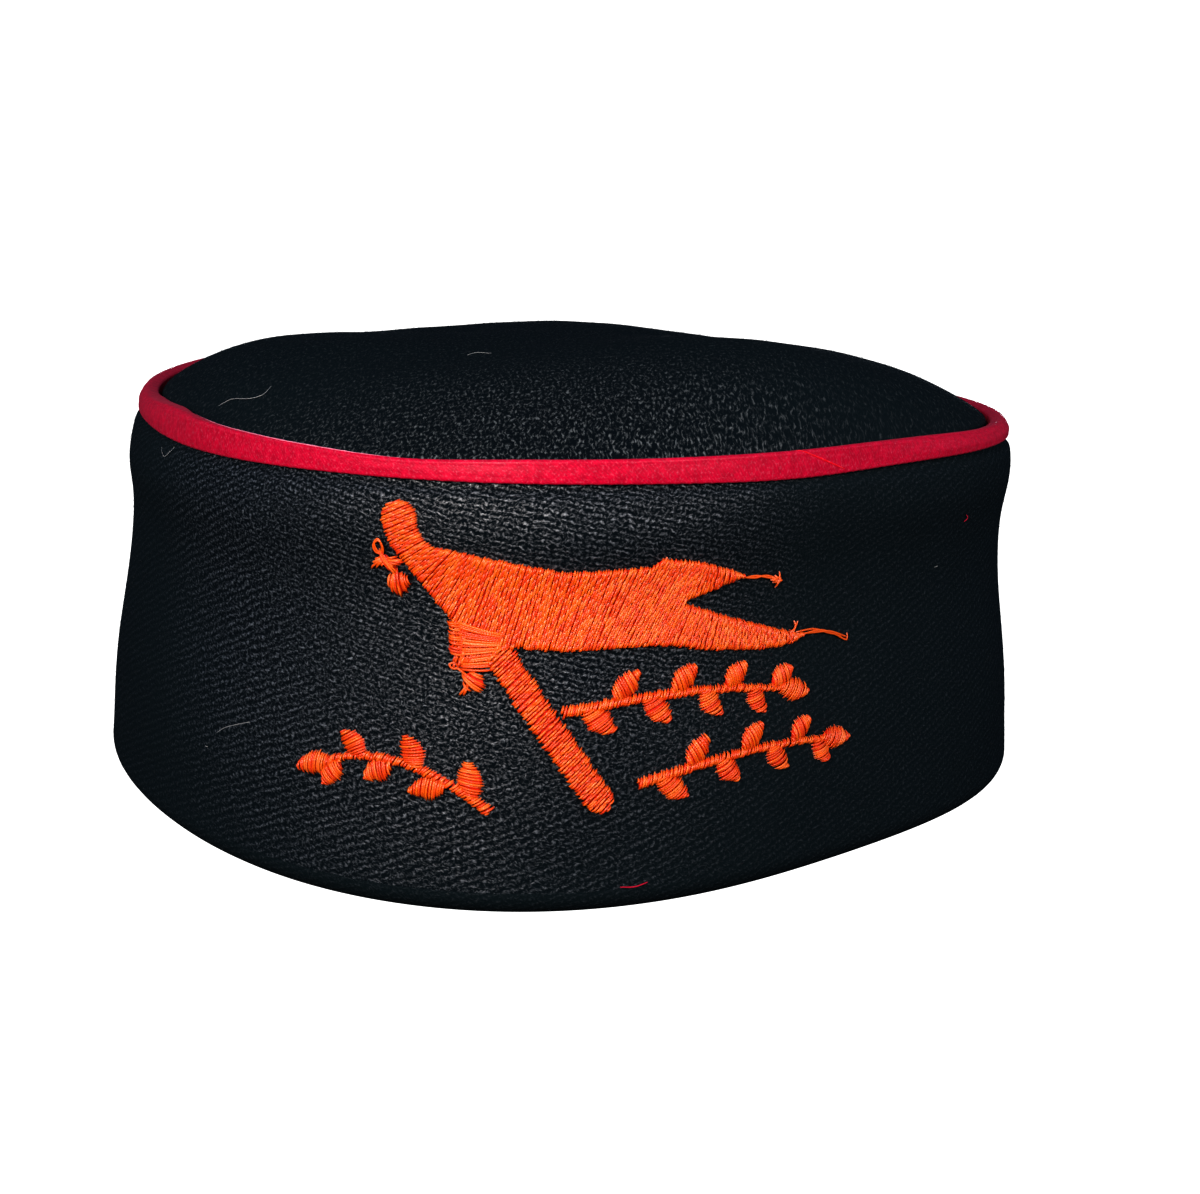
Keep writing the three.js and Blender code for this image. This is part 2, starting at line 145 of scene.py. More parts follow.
@dataclass(frozen=True)
class Ripple:
    """A long, low wave in cloth: its length, the way that it runs in degrees, its start and its size."""

    length: float
    slant: float
    start: float
    size: float


def waves(table: Sequence[Lobe], angle: Array, share: Any = 1.0) -> Array:
    """Sums the lobes of a table.

    Args:
        table: the lobes.
        angle: where round the outline, in radians.
        share: how far out from the middle, for lobes that fade inwards.

    Returns:
        The sum at each angle.
    """
    total = 0.0 * angle * share
    for lobe in table:
        wave = lobe.cos * np.cos(lobe.lobes * angle) + lobe.sin * np.sin(lobe.lobes * angle)
        total = total + share**lobe.reach * wave
    return total


def swollen(table: Sequence[Swell], place: Array) -> Array:
    """Sums the swellings of a table at places."""
    return sum(swell.size * np.exp(-(((place - swell.at) / swell.reach) ** 2)) for swell in table)


def rippled(table: Sequence[Ripple], across: Array, up: Array) -> Array:
    """Sums a set of ripples.

    Args:
        table: the ripples.
        across: where, along the flat cloth.
        up: where, up it.

    Returns:
        How far they lift the cloth there.
    """
    total = 0.0 * across * up
    for ripple in table:
        way = heading(ripple.slant)
        run = across * way[0] + up * way[1] + ripple.start
        total = total + ripple.size * np.sin(2 * math.pi * run / ripple.length)
    return total


@dataclass(frozen=True)
class CapForm:
    """The cap's shape as rings at heights, in millimetres, by the frame's own formulas."""

    half_width: float = 91.2
    half_depth: float = 100.9
    rim: float = 80.3
    gap: float = 0.3
    flare: float = 5.0
    middle: Pair = (1.98, -1.32)
    lean_from: float = 63.0
    lean_to: float = 75.5
    lean_by: float = 1.3
    plan_lobes: tuple[Lobe, ...] = (Lobe(3, 0.034, 0.03), Lobe(4, 0.02, 0.0))
    flare_lobes: tuple[Lobe, ...] = (Lobe(1, -1.2, 1.9), Lobe(2, 1.8, 0.0))
    rim_lobes: tuple[Lobe, ...] = (Lobe(1, -0.9, 2.6), Lobe(2, -1.2, -0.7))
    swells: tuple[Swell, ...] = (Swell(69.3, 8.0, 1.6), Swell(50.0, 18.0, -1.6))
    ripples: tuple[Ripple, ...] = (
        Ripple(96, 12, 7, 0.26), Ripple(61, -24, 31, 0.17),
        Ripple(37, 68, 12, 0.1), Ripple(23, -6, 3, 0.06),
    )
    side_angle: float = math.radians(183)  # where the soft side bulges out
    side_reach: float = math.radians(38)
    side_size: float = 0.95
    turns: tuple[Swell, ...] = (Swell(7.0, 8.0, 0.4),)  # soft upright turns in the band, along its rim

    def outward(self, angle: Array) -> Array:
        """Returns the outward direction in plan at each angle."""
        across, deep = np.cos(angle) / self.half_width, np.sin(angle) / self.half_depth
        return unit(np.stack([across, deep, 0 * across], -1))

    def place(self, angle: Array, height: Array, offset: Array) -> Array:
        """Finds points of the cap.

        Args:
            angle: where round the cap, in radians.
            height: above the surface that the cap stands on.
            offset: outwards from the band's outline.

        Returns:
            One point for each, in millimetres.
        """
        angle, height, offset = np.broadcast_arrays(angle, height, offset)
        share = np.clip(height / self.rim, 0, 1)
        size = 1 + waves(self.plan_lobes, angle)
        flare = (self.flare + waves(self.flare_lobes, angle)) * (1 - share)
        lean = self.lean_by * smoothstep(height, self.lean_from, self.lean_to) * (1 - np.cos(angle)) / 2
        across = self.half_width * np.cos(angle) * size - self.middle[0]
        deep = self.half_depth * np.sin(angle) * size - self.middle[1]
        up = height + share * waves(self.rim_lobes, angle)
        apart = (angle - self.side_angle + math.pi) % (2 * math.pi) - math.pi
        side = self.side_size * np.exp(-((apart / self.side_reach) ** 2)) * smoothstep(height, 0, 30)
        out = offset + flare - lean + side
        return np.stack([across, deep, up], -1) + self.outward(angle) * out[..., None]

    def swell(self, height: Array) -> Array:
        """Returns how far the band's rolls stand out at each height."""
        return swollen(self.swells, height)

    @cached_property
    def rim_table(self) -> tuple[Array, Array]:
        """Angles from back to back, and their distances along the rim from the front middle."""
        angles = FRONT + np.linspace(-math.pi, math.pi, 5761)
        points = self.place(angles, self.rim, 0.0)[:, :2]
        along = run_of(points)
        return angles, along - along[len(along) // 2]

    def angle_at(self, along: Array) -> Array:
        """Returns the angles at distances along the rim from the front middle."""
        return np.interp(along, self.rim_table[1], self.rim_table[0])

    def along_at(self, angle: Array) -> Array:
        """Returns the distances along the rim at angles."""
        return np.interp(angle, self.rim_table[0], self.rim_table[1])

    def drape(self, along: Array, up: Array) -> Array:
        """Returns the small unevenness of the band's face, faded out at the fold and under the binding."""
        free = smoothstep(up, 6, 20) * (1 - smoothstep(up, 66, 74))
        return free * (rippled(self.ripples, along, up) + swollen(self.turns, along))

    def on_band(self, along: Array, up: Array, lift: Array) -> Array:
        """Finds points on the band's front.

        Args:
            along: distance along the rim from the front middle.
            up: height above the floor.
            lift: how far out from the cloth.

        Returns:
            One point for each, in millimetres.
        """
        along, up, lift = np.broadcast_arrays(along, up, lift)
        return self.place(self.angle_at(along), up, self.swell(up) + self.drape(along, up) + lift)


FORM = CapForm()


# Meshes


def put(name: str, data: Any) -> Piece:
    """Returns a new object of a mesh, a lamp or a camera, linked to the scene."""
    made = bpy.data.objects.new(name, data)
    bpy.context.scene.collection.objects.link(made)
    return made


@dataclass
class Skin:
    """A mesh in the making: its corners in millimetres, its faces, and each face's corners laid flat."""

    points: list[Array] = field(default_factory=list)
    faces: list[list[int]] = field(default_factory=list)
    flats: list[Array] = field(default_factory=list)
    count: int = 0

    def add(self, points: Array, faces: Array, flats: Array) -> None:
        """Adds corners and faces.

        Args:
            points: the new corners, one row each.
            faces: rows of places in points.
            flats: for each face, one flat place for each of its corners.
        """
        self.points.append(points)
        self.faces.extend((faces + self.count).tolist())
        self.flats.append(flats.reshape(-1, 2))
        self.count += len(points)

    def add_grid(self, points: Array, flat: Array, wrap_rows: bool = False, wrap_cols: bool = False) -> None:
        """Adds a grid of four-cornered faces.

        Args:
            points: rows by columns by three.
            flat: the same grid laid flat, with one more row or column where it wraps.
            wrap_rows: True if the last row joins the first.
            wrap_cols: True if the last column joins the first.
        """
        rows, cols = points.shape[:2]
        row = np.arange(rows if wrap_rows else rows - 1)[:, None]
        col = np.arange(cols if wrap_cols else cols - 1)[None, :]
        corners = ((0, 0), (0, 1), (1, 1), (1, 0))
        faces = [(row + i) % rows * cols + (col + j) % cols for i, j in corners]
        flats = [flat[row + i, col + j] for i, j in corners]
        quads, laid = np.stack(faces, -1), np.stack(flats, 2)
        self.add(points.reshape(-1, 3), quads.reshape(-1, 4), laid.reshape(-1, 4, 2))

    def cap(self, corners: Array, flat: Array) -> None:
        """Closes a loop of corners with one face."""
        self.faces.append(corners.tolist())
        self.flats.append(flat)

    def add_strands(
        self, paths: Array, ups: Array, radii: Array, sides: int = 6, flatness: float = 0.6
    ) -> None:
        """Adds a closed tube along each of a set of paths, with the way to its nearer end on the flat map.

        Args:
            paths: strands by points by three.
            ups: the direction away from the cloth at each of those points.
            radii: the thread's radius at each of those points.
            sides: how many sides each tube has.
            flatness: the tube's height as a share of its width.
        """
        strands, steps = paths.shape[:2]
        ways = unit(np.gradient(paths, axis=1))
        across = unit(np.cross(ways, ups))
        above = np.cross(across, ways)
        turn = np.arange(sides) / sides * 2 * math.pi
        cos, sin = np.cos(turn)[:, None], np.sin(turn)[:, None]
        ring = across[:, :, None] * cos + above[:, :, None] * sin * flatness
        points = paths[:, :, None] + ring * radii[:, :, None, None]
        lengths = np.linalg.norm(np.diff(paths, axis=1), axis=2)
        run = np.concatenate([np.zeros((strands, 1)), np.cumsum(lengths, 1)], 1)
        run = np.minimum(run, run[:, -1:] - run)
        number = np.arange(strands)[:, None, None, None]
        step = np.arange(steps - 1)[None, :, None, None]
        side = np.arange(sides)[None, None, :, None]
        corner_step, corner_side = np.array([0, 1, 1, 0]), np.array([0, 0, 1, 1])
        faces = number * steps * sides + (step + corner_step) * sides + (side + corner_side) % sides
        round_flat = number + 0.01 + 0.98 * (side + corner_side) / sides + 0.0 * step
        run_flat = run[number, step + corner_step] + 0.0 * side
        self.add(points.reshape(-1, 3), faces.reshape(-1, 4), np.stack([round_flat, run_flat], -1))
        first = np.arange(strands)[:, None] * steps * sides + np.arange(sides)
        last = first[:, ::-1] + (steps - 1) * sides
        for caps, lengthwise in ((first, run[:, 0]), (last, run[:, -1])):
            flat = np.stack([np.arange(strands) + 0.5, lengthwise], -1)[:, None].repeat(sides, 1)
            self.faces.extend((caps + self.count - points[..., 0].size).tolist())
            self.flats.append(flat.reshape(-1, 2))

    def piece(self, name: str, material: bpy.types.Material, recalculate: bool = False) -> Piece:
        """Makes the mesh's object, in metres.

        Args:
            name: the piece's name.
            material: its finish.
            recalculate: True to turn all faces outwards, for a mesh of one closed body.

        Returns:
            The new object.
        """
        mesh = bpy.data.meshes.new(name)
        mesh.from_pydata((np.concatenate(self.points) * MM).tolist(), [], self.faces)
        layer = mesh.uv_layers.new(name=FLAT_MAP)
        layer.data.foreach_set("uv", np.concatenate(self.flats).astype(np.float32).ravel())
        mesh.polygons.foreach_set("use_smooth", np.ones(len(mesh.polygons), bool))
        if recalculate:
            turned = bmesh.new()
            turned.from_mesh(mesh)
            bmesh.ops.recalc_face_normals(turned, faces=turned.faces)
            turned.to_mesh(mesh)
            turned.free()
        mesh.materials.append(material)
        mesh.update()
        return put(name, mesh)


def settle(piece: Piece, slot: str, *nodes: str) -> Piece:
    """Fixes a piece to the cap.

    Args:
        piece: the finished piece.
        slot: the record's material slot; not used.
        *nodes: the frame's solids that it stands for.

    Returns:
        The same piece.
    """
    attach(piece, "root")
    if nodes:
        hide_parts(*nodes)
    LOG.info("%s: %d faces", piece.name, len(piece.data.polygons))
    return piece


# Finishes


def linear(hex_colour: str) -> tuple[float, float, float, float]:
    """Turns a colour to linear.

    Args:
        hex_colour: its sRGB hex value.

    Returns:
        Its red, green, blue and alpha.
    """
    shares = [int(hex_colour[i : i + 2], 16) / 255 for i in (1, 3, 5)]
    red, green, blue = [c / 12.92 if c <= 0.04045 else ((c + 0.055) / 1.055) ** 2.4 for c in shares]
    return red, green, blue, 1.0


def add_node(tree: Tree, kind: str, sockets: dict[Any, Any] | None = None, **settings: Any) -> Any:
    """Adds a shader node with its settings and links.

    Args:
        tree: the material's or the world's nodes.
        kind: the node's type, without its ShaderNode prefix.
        sockets: a value, or an output to link, for each input by name or number.
        **settings: the node's own options.

    Returns:
        The new node.
    """
    made = tree.nodes.new("ShaderNode" + kind)
    for name, value in settings.items():
        setattr(made, name, value)
    for name, value in (sockets or {}).items():
        if isinstance(value, bpy.types.NodeSocket):
            tree.links.new(value, made.inputs[name])
        else:
            made.inputs[name].default_value = value
    return made


def new_material(name: str) -> tuple[bpy.types.Material, Tree]:
    """Starts a material.

    Args:
        name: what it is called.

    Returns:
        The empty material and its nodes.
    """
    made = bpy.data.materials.new(name)
    made.use_nodes = True
    made.node_tree.nodes.clear()
    return made, made.node_tree


@dataclass(frozen=True)
class Rows:
    """One family of a weave's rows: millimetres from one row to the next, and their slant in degrees."""

    pitch: float
    slant: float

    def draw(self, tree: Tree, flat: Socket) -> Socket:
        """Draws the rows as waves.

        Args:
            tree: the material's nodes.
            flat: the flat map.

        Returns:
            The waves, from 0 to 1.
        """
        turn = (0, 0, -math.radians(self.slant))
        turned = add_node(tree, "Mapping", {"Vector": flat, "Rotation": turn}).outputs[0]
        scale = 2 * math.pi / (STRAIGHT_BANDS * self.pitch)
        sockets = {"Vector": turned, "Scale": scale, "Distortion": 0.0}
        return add_node(tree, "TexWave", sockets, bands_direction="Y").outputs["Fac"]


@dataclass(frozen=True)
class Area:
    """A soft-edged oval of a flat map, in millimetres."""

    middle: tuple[float, float, float]
    size: tuple[float, float, float]
    core: float = 0.5  # the share of the oval that is as shiny as its middle

    def inside(self, tree: Tree, flat: Socket, outside: float) -> Socket:
        """Shades the oval.

        Args:
            tree: the material's nodes.
            flat: the flat map.
            outside: the value outside the oval.

        Returns:
            One in the oval's core, and down to the outside value at its edge.
        """
        apart = add_node(tree, "VectorMath", {0: flat, 1: self.middle}, operation="SUBTRACT").outputs[0]
        apart = add_node(tree, "VectorMath", {0: apart, 1: self.size}, operation="DIVIDE").outputs[0]
        apart = add_node(tree, "VectorMath", {0: apart}, operation="LENGTH").outputs["Value"]
        sockets = {"Value": apart, "From Min": 1.0, "From Max": self.core, "To Min": outside}
        return add_node(tree, "MapRange", sockets, interpolation_type="SMOOTHSTEP").outputs[0]


@dataclass(frozen=True)
class Finish:
    """A real material: its name, and the nodes that draw it on a piece's flat map."""

    name: str

    def shade(self, tree: Tree, flat: Socket) -> dict[str, Any]:
        """Draws the finish.

        Args:
            tree: the material's nodes.
            flat: the flat map.

        Returns:
            What each of the shader's sockets takes.
        """
        raise NotImplementedError

    def material(self) -> bpy.types.Material:
        """Builds the finish.

        Returns:
            The material, which reads the flat map.
        """
        made, tree = new_material(self.name)
        flat = add_node(tree, "UVMap", uv_map=FLAT_MAP).outputs["UV"]
        shader = add_node(tree, "BsdfPrincipled", self.shade(tree, flat))
        add_node(tree, "OutputMaterial", {"Surface": shader.outputs[0]})
        return made


@dataclass(frozen=True)
class BrushedWool(Finish):
    """Black melton-like wool, woven from coarse yarn and brushed.

    The brushing leaves short, lustrous tufts in the twill's rows, over black gaps. The tufts catch the lamp
    as grey flecks, so the cloth sparkles where it faces the light. A pool of light is painted on round the
    front: there the tufts are painted paler and glossier; farther off they fade, the ground takes a painted
    bluish shade colour, and the cloth is dead black. The twill has two families of rows: the flatter one
    shows where the lamp strikes the cloth squarely, and the other one elsewhere.
    """

    gap_colour: str = "#0A1318"
    # the ground's painted shade colour, outside the painted pool of light
    shade_ground_colour: str = "#172225"
    tuft_colour: str = "#51575C"
    facing: Rows = Rows(1.0, -13)
    aside: Rows = Rows(1.4, 22)
    faced: Area = Area((2.0, 74.0, 0.0), (74.0, 60.0, 1.0))
    tuft_length: float = 0.68
    tuft_width: float = 0.47
    wander: float = 0.8  # how far the rows stray
    wander_length: float = 4.0
    strand: float = 0.6  # a strand's share of its tuft, drawn coarser than the real one so that it shows
    frayed: float = 0.36  # how plainly the strands show
    rowed: float = 0.34  # how plainly the rows show
    sparse: float = 0.34  # how much of the cloth stays black
    full: float = 0.95  # the height from which a tuft has all its lustre
    contrast: float = 2.2  # how steeply the lustre grows from a tuft's foot to its top
    rough: float = 0.9
    specular: float = 0.1
    gloss: float = 0.52  # roughness of the lustrous tufts
    lustre: float = 3.2  # the tufts' IOR, far above one fibre's, as each stands for many that flash together
    relief: float = 0.1  # height of the tufts, in millimetres
    # where a pool of light is painted round the front: the tufts are paler and glossier there
    pressed: Area = Area((-21.0, 76.0, 0.0), (83.0, 105.0, 1.0))
    light_outside: float = 0.2  # how much of the tufts' painted light is left outside the painted area

    def brushed(self, tree: Tree, flat: Socket) -> Socket:
        """Draws the cloth's height.

        Args:
            tree: the material's nodes.
            flat: the flat map.

        Returns:
            The height, from 0 in a gap to 1 on a tuft.
        """
        sockets = {"Vector": flat, "Scale": 1 / self.wander_length, "Detail": 3.5, "Roughness": 0.6}
        stray = add_node(tree, "TexNoise", sockets, noise_dimensions="2D").outputs["Color"]
        centred = add_node(tree, "VectorMath", {0: stray, 1: (0.5,) * 3}, operation="SUBTRACT").outputs[0]
        sockets = {0: centred, 1: (2 * self.wander,) * 3, 2: flat}
        strayed = add_node(tree, "VectorMath", sockets, operation="MULTIPLY_ADD").outputs[0]
        sockets = {
            0: self.faced.inside(tree, flat, 0.0),
            2: self.aside.draw(tree, strayed),
            3: self.facing.draw(tree, strayed),
        }
        rows = add_node(tree, "Mix", sockets, data_type="FLOAT").outputs[0]
        sockets = {"Vector": strayed, "Scale": (self.tuft_length, self.tuft_width, 1)}
        stretched = add_node(tree, "Mapping", sockets, vector_type="TEXTURE").outputs[0]
        layers = []
        for size, detail, rough, margin in ((1.0, 1.0, 0.4, 0.25), (self.strand, 2.0, 0.6, 0.3)):
            sockets = {"Vector": stretched, "Scale": 1 / size, "Detail": detail, "Roughness": rough}
            uneven = add_node(tree, "TexNoise", sockets, noise_dimensions="2D").outputs["Fac"]
            sockets = {"Value": uneven, "From Min": margin, "From Max": 1 - margin}
            layers.append(add_node(tree, "MapRange", sockets).outputs[0])
        tufts, strands = layers
        woven = add_node(tree, "Mix", {0: self.rowed, 2: tufts, 3: rows}, data_type="FLOAT").outputs[0]
        return add_node(tree, "Mix", {0: self.frayed, 2: woven, 3: strands}, data_type="FLOAT").outputs[0]

    def shade(self, tree: Tree, flat: Socket) -> dict[str, Any]:
        """Draws lustrous tufts over black gaps, with a pool of light painted on them round the front.

        Args:
            tree: the material's nodes.
            flat: the flat map.

        Returns:
            What each of the shader's sockets takes.
        """
        brushed = self.brushed(tree, flat)
        sockets = {"Value": brushed, "From Min": self.sparse, "From Max": self.full}
        shown = add_node(tree, "MapRange", sockets).outputs[0]
        tuft = add_node(tree, "Math", {0: shown, 1: self.contrast}, operation="POWER").outputs[0]
        # painted light: one in the pool of light painted round the front, and less outside it
        painted_light = self.pressed.inside(tree, flat, self.light_outside)
        fleck = add_node(tree, "Math", {0: tuft, 1: painted_light}, operation="MULTIPLY").outputs[0]
        # outside the painted pool of light the ground takes the painted bluish shade colour
        sockets = {0: painted_light, 6: linear(self.shade_ground_colour), 7: linear(self.gap_colour)}
        ground = add_node(tree, "Mix", sockets, data_type="RGBA").outputs[2]
        sockets = {0: fleck, 6: ground, 7: linear(self.tuft_colour)}
        colour = add_node(tree, "Mix", sockets, data_type="RGBA").outputs[2]
        sockets = {"Height": brushed, "Strength": 1.0, "Distance": self.relief * MM}
        bump = add_node(tree, "Bump", sockets).outputs[0]
        return {
            "Base Color": colour,
            "Roughness": self.rough,
            "IOR": 1.55,
            "Specular IOR Level": self.specular,
            "Coat Weight": fleck,
            "Coat Roughness": self.gloss,
            "Coat IOR": self.lustre,
            "Normal": bump,
            "Coat Normal": bump,
        }


@dataclass(frozen=True)
class CrimsonSatin(Finish):
    """Polyester satin cut on the bias, ironed into a strip.

    Its fine twill runs at 45 degrees and its floats are smooth, so it glows softly and turns pink where an
    edge or a fold faces the light. Pale pink highlights are also painted on its floats, scattered by noise.
    """

    colour: str = "#D5083E"
    deep_colour: str = "#B80634"
    # also the colour of the highlights painted on the floats
    sheen_colour: str = "#FF9DB0"
    twill: float = 0.5  # from rib to rib, drawn coarser than the real 0.36 mm so that it shows
    blotch: float = 1.5  # from one darker or lighter blotch to the next
    glint: float = 0.45  # from one highlight painted on the floats to the next
    ribbed: float = 0.14  # how much the ribs add to the blotches
    tones: Pair = (0.4, 0.74)  # the blotches' values that are deep and bright
    pale_from: float = 0.52  # the glint noise's values at which the painted highlight starts, and at which it is palest
    pale_to: float = 0.85
    palest: float = 0.3
    roughness: float = 0.42

    def shade(self, tree: Tree, flat: Socket) -> dict[str, Any]:
        """Draws ribs, darker and lighter blotches, and highlights painted on the floats.

        Args:
            tree: the material's nodes.
            flat: the flat map.

        Returns:
            What each of the shader's sockets takes.
        """
        ribs_to_mm = DIAGONAL_BANDS / (2 * math.pi)
        sockets = {"Vector": flat, "Scale": 1 / (self.twill * ribs_to_mm), "Distortion": 0.6, "Detail": 1.0}
        ribs = add_node(tree, "TexWave", sockets, bands_direction="DIAGONAL").outputs["Fac"]
        layers = []
        for size in (self.blotch, self.glint):
            sockets = {"Vector": flat, "Scale": 1 / size, "Detail": 4.0, "Roughness": 0.6}
            layers.append(add_node(tree, "TexNoise", sockets, noise_dimensions="2D").outputs["Fac"])
        cloudy, bright = layers
        sockets = {0: ribs, 1: self.ribbed, 2: cloudy}
        ribbed = add_node(tree, "Math", sockets, operation="MULTIPLY_ADD").outputs[0]
        sockets = {"Value": ribbed, "From Min": self.tones[0], "From Max": self.tones[1]}
        tone = add_node(tree, "MapRange", sockets).outputs[0]
        # painted highlight: pale pink spots on the floats, where the glint noise is high
        sockets = {"From Min": self.pale_from, "From Max": self.pale_to, "To Max": self.palest}
        pale = add_node(tree, "MapRange", {"Value": bright, **sockets}).outputs[0]
        sockets = {0: tone, 6: linear(self.deep_colour), 7: linear(self.colour)}
        blotched = add_node(tree, "Mix", sockets, data_type="RGBA").outputs[2]
        sockets = {0: pale, 6: blotched, 7: linear(self.sheen_colour)}
        colour = add_node(tree, "Mix", sockets, data_type="RGBA").outputs[2]
        bump = add_node(tree, "Bump", {"Height": ribbed, "Strength": 0.35, "Distance": 0.06 * MM})
        return {
            "Base Color": colour,
            "Roughness": self.roughness,
            "IOR": 1.5,
            "Specular IOR Level": 0.25,
            "Sheen Weight": 0.05,
            "Sheen Roughness": 0.4,
            "Sheen Tint": linear(self.sheen_colour),
            "Normal": bump.outputs[0],
        }


@dataclass(frozen=True)
class RayonThread(Finish):
    """Rayon embroidery thread, two plies twisted together.

    It is smooth and glossy, so each stitch has a pale line along its top. Each strand's tone is painted a
    little lighter or darker, the palest as painted highlights, in place of each thread's own slant to the
    light, and the ends of each stitch are painted pale, as highlights where it bends down into the cloth.
    The flat map holds each strand's number, and the way to its nearer end.
    """

    colour: str = "#F05A06"
    warm_colour: str = "#F66E0E"
    deep_colour: str = "#E44204"
    # the palest strands' colour: a painted highlight
    pale_colour: str = "#FA7832"
    end_highlight_colour: str = "#FFBCAA"
    plain_at: float = 0.45  # the shares of strands that are darker than the plain and the warm colour
    warm_at: float = 0.78
    ply: float = 0.9  # from one turn of the twist to the next, in millimetres
    end: float = 0.52  # how far the painted highlight reaches from where each stitch turns down into the cloth
    end_highlight_strength: float = 0.42
    roughness: float = 0.37

    def shade(self, tree: Tree, flat: Socket) -> dict[str, Any]:
        """Draws each strand in its painted tone, with its twist and the highlights painted on its ends.

        Args:
            tree: the material's nodes.
            flat: the flat map.

        Returns:
            What each of the shader's sockets takes.
        """
        strand, run = add_node(tree, "SeparateXYZ", {0: flat}).outputs[:2]
        number = add_node(tree, "Math", {0: strand}, operation="FLOOR").outputs[0]
        chance = add_node(tree, "TexWhiteNoise", {"W": number}, noise_dimensions="1D").outputs["Value"]
        sockets = {0: run, 1: 1 / self.ply, 2: strand}
        twist = add_node(tree, "Math", sockets, operation="MULTIPLY_ADD").outputs[0]
        turned = add_node(tree, "Math", {0: twist, 1: 4 * math.pi}, operation="MULTIPLY").outputs[0]
        plies = add_node(tree, "Math", {0: turned}, operation="SINE").outputs[0]
        # each strand's tone is painted lighter or darker by chance, the palest as painted highlights
        ramp = add_node(tree, "ValToRGB", {"Fac": chance})
        ramp.color_ramp.elements[0].color = linear(self.deep_colour)
        ramp.color_ramp.elements[1].color = linear(self.pale_colour)
        ramp.color_ramp.elements.new(self.plain_at).color = linear(self.colour)
        ramp.color_ramp.elements.new(self.warm_at).color = linear(self.warm_colour)
        sockets = {"Value": run, "From Max": self.end, "To Min": self.end_highlight_strength, "To Max": 0.0}
        painted_end_highlight = add_node(tree, "MapRange", sockets).outputs[0]
        sockets = {0: painted_end_highlight, 6: ramp.outputs["Color"], 7: linear(self.end_highlight_colour)}
        colour = add_node(tree, "Mix", sockets, data_type="RGBA").outputs[2]
        bump = add_node(tree, "Bump", {"Height": plies, "Strength": 0.3, "Distance": 0.05 * MM})
        return {
            "Base Color": colour,
            "Roughness": self.roughness,
            "IOR": 1.52,
            "Specular IOR Level": 0.7,
            "Normal": bump.outputs[0],
        }


@dataclass(frozen=True)
class PlainFibre(Finish):
    """A finish for padding, lint and stray hairs: one kind of fibre, a little uneven in tone, and matt."""

    colour: str
    pale_colour: str
    patch: float = 1.5  # from one tone to the next, in millimetres
    roughness: float = 0.6

    def shade(self, tree: Tree, flat: Socket) -> dict[str, Any]:
        """Draws soft patches of two tones.

        Args:
            tree: the material's nodes.
            flat: the flat map.

        Returns:
            What each of the shader's sockets takes.
        """
        sockets = {"Vector": flat, "Scale": 1 / self.patch, "Detail": 3.0}
        cloudy = add_node(tree, "TexNoise", sockets, noise_dimensions="2D").outputs["Fac"]
        sockets = {0: cloudy, 6: linear(self.colour), 7: linear(self.pale_colour)}
        colour = add_node(tree, "Mix", sockets, data_type="RGBA").outputs[2]
        return {"Base Color": colour, "Roughness": self.roughness, "IOR": 1.5, "Specular IOR Level": 0.3}


BAND_WOOL = BrushedWool("brushed_black_wool")
# The same wool on the crown, its tufts and gaps painted lighter: painted light on the upturned crown.
CROWN_WOOL = BrushedWool(
    "brushed_black_wool_crown",
    gap_colour="#0D161B",
    tuft_colour="#80827C",
    facing=Rows(2.1, 8),
    aside=Rows(2.1, 8),
    tuft_length=0.55,
    tuft_width=1.9,
    frayed=0.45,
    rowed=0.14,
    sparse=0.42,
    # the crown's painted pool of light, round its front
    pressed=Area((2.0, -99.0, 0.0), (86.0, 66.0, 1.0), core=0.15),
    light_outside=0.14,
)
SATIN = CrimsonSatin("crimson_bias_satin")
# a brighter copy of the satin for the join's fold: a painted highlight
SATIN_JOIN_HIGHLIGHT = CrimsonSatin("crimson_satin_join_painted_highlight", colour="#FF1030", deep_colour="#F00A2A")
# a pale copy of the satin: a highlight painted along the strip's upper edge
SATIN_EDGE_HIGHLIGHT = CrimsonSatin("crimson_satin_painted_highlight", colour="#F2A0B4", deep_colour="#E07890")
SEWING_THREAD = PlainFibre("crimson_sewing_thread", "#B4082E", "#D8244A", patch=0.6)
EMBROIDERY = RayonThread("orange_rayon_thread")
# the padding's red is its own colour, painted brighter for the light that passes through and between the
# threads
PADDING = PlainFibre("red_padding_stitches", "#D02010", "#F43C14", patch=0.5)
NAP_FIBRE = PlainFibre("raised_wool_fibre", "#14171A", "#43474B", patch=0.7, roughness=0.45)
PALE_HAIR = PlainFibre("pale_hair", "#8F8E8A", "#C9C8C4", patch=2.0)


def lay_strands(
    name: str, finish: Finish, slot: str, paths: Array, ups: Array, radii: Array, **shape: Any
) -> Piece:
    """Makes strands along paths into a piece of their own.

    Args:
        name: the piece's name.
        finish: what the strands are made of.
        slot: the record's material slot, handed on to settle.
        paths: strands by points by three.
        ups: the direction away from the cloth at each of those points.
        radii: the strand's radius at each of those points.
        **shape: how many sides the strands have, and their flatness.

    Returns:
        The piece.
    """
    skin = Skin()
    skin.add_strands(paths, ups, radii, **shape)
    return settle(skin.piece(name, finish.material()), slot)


# Cloth


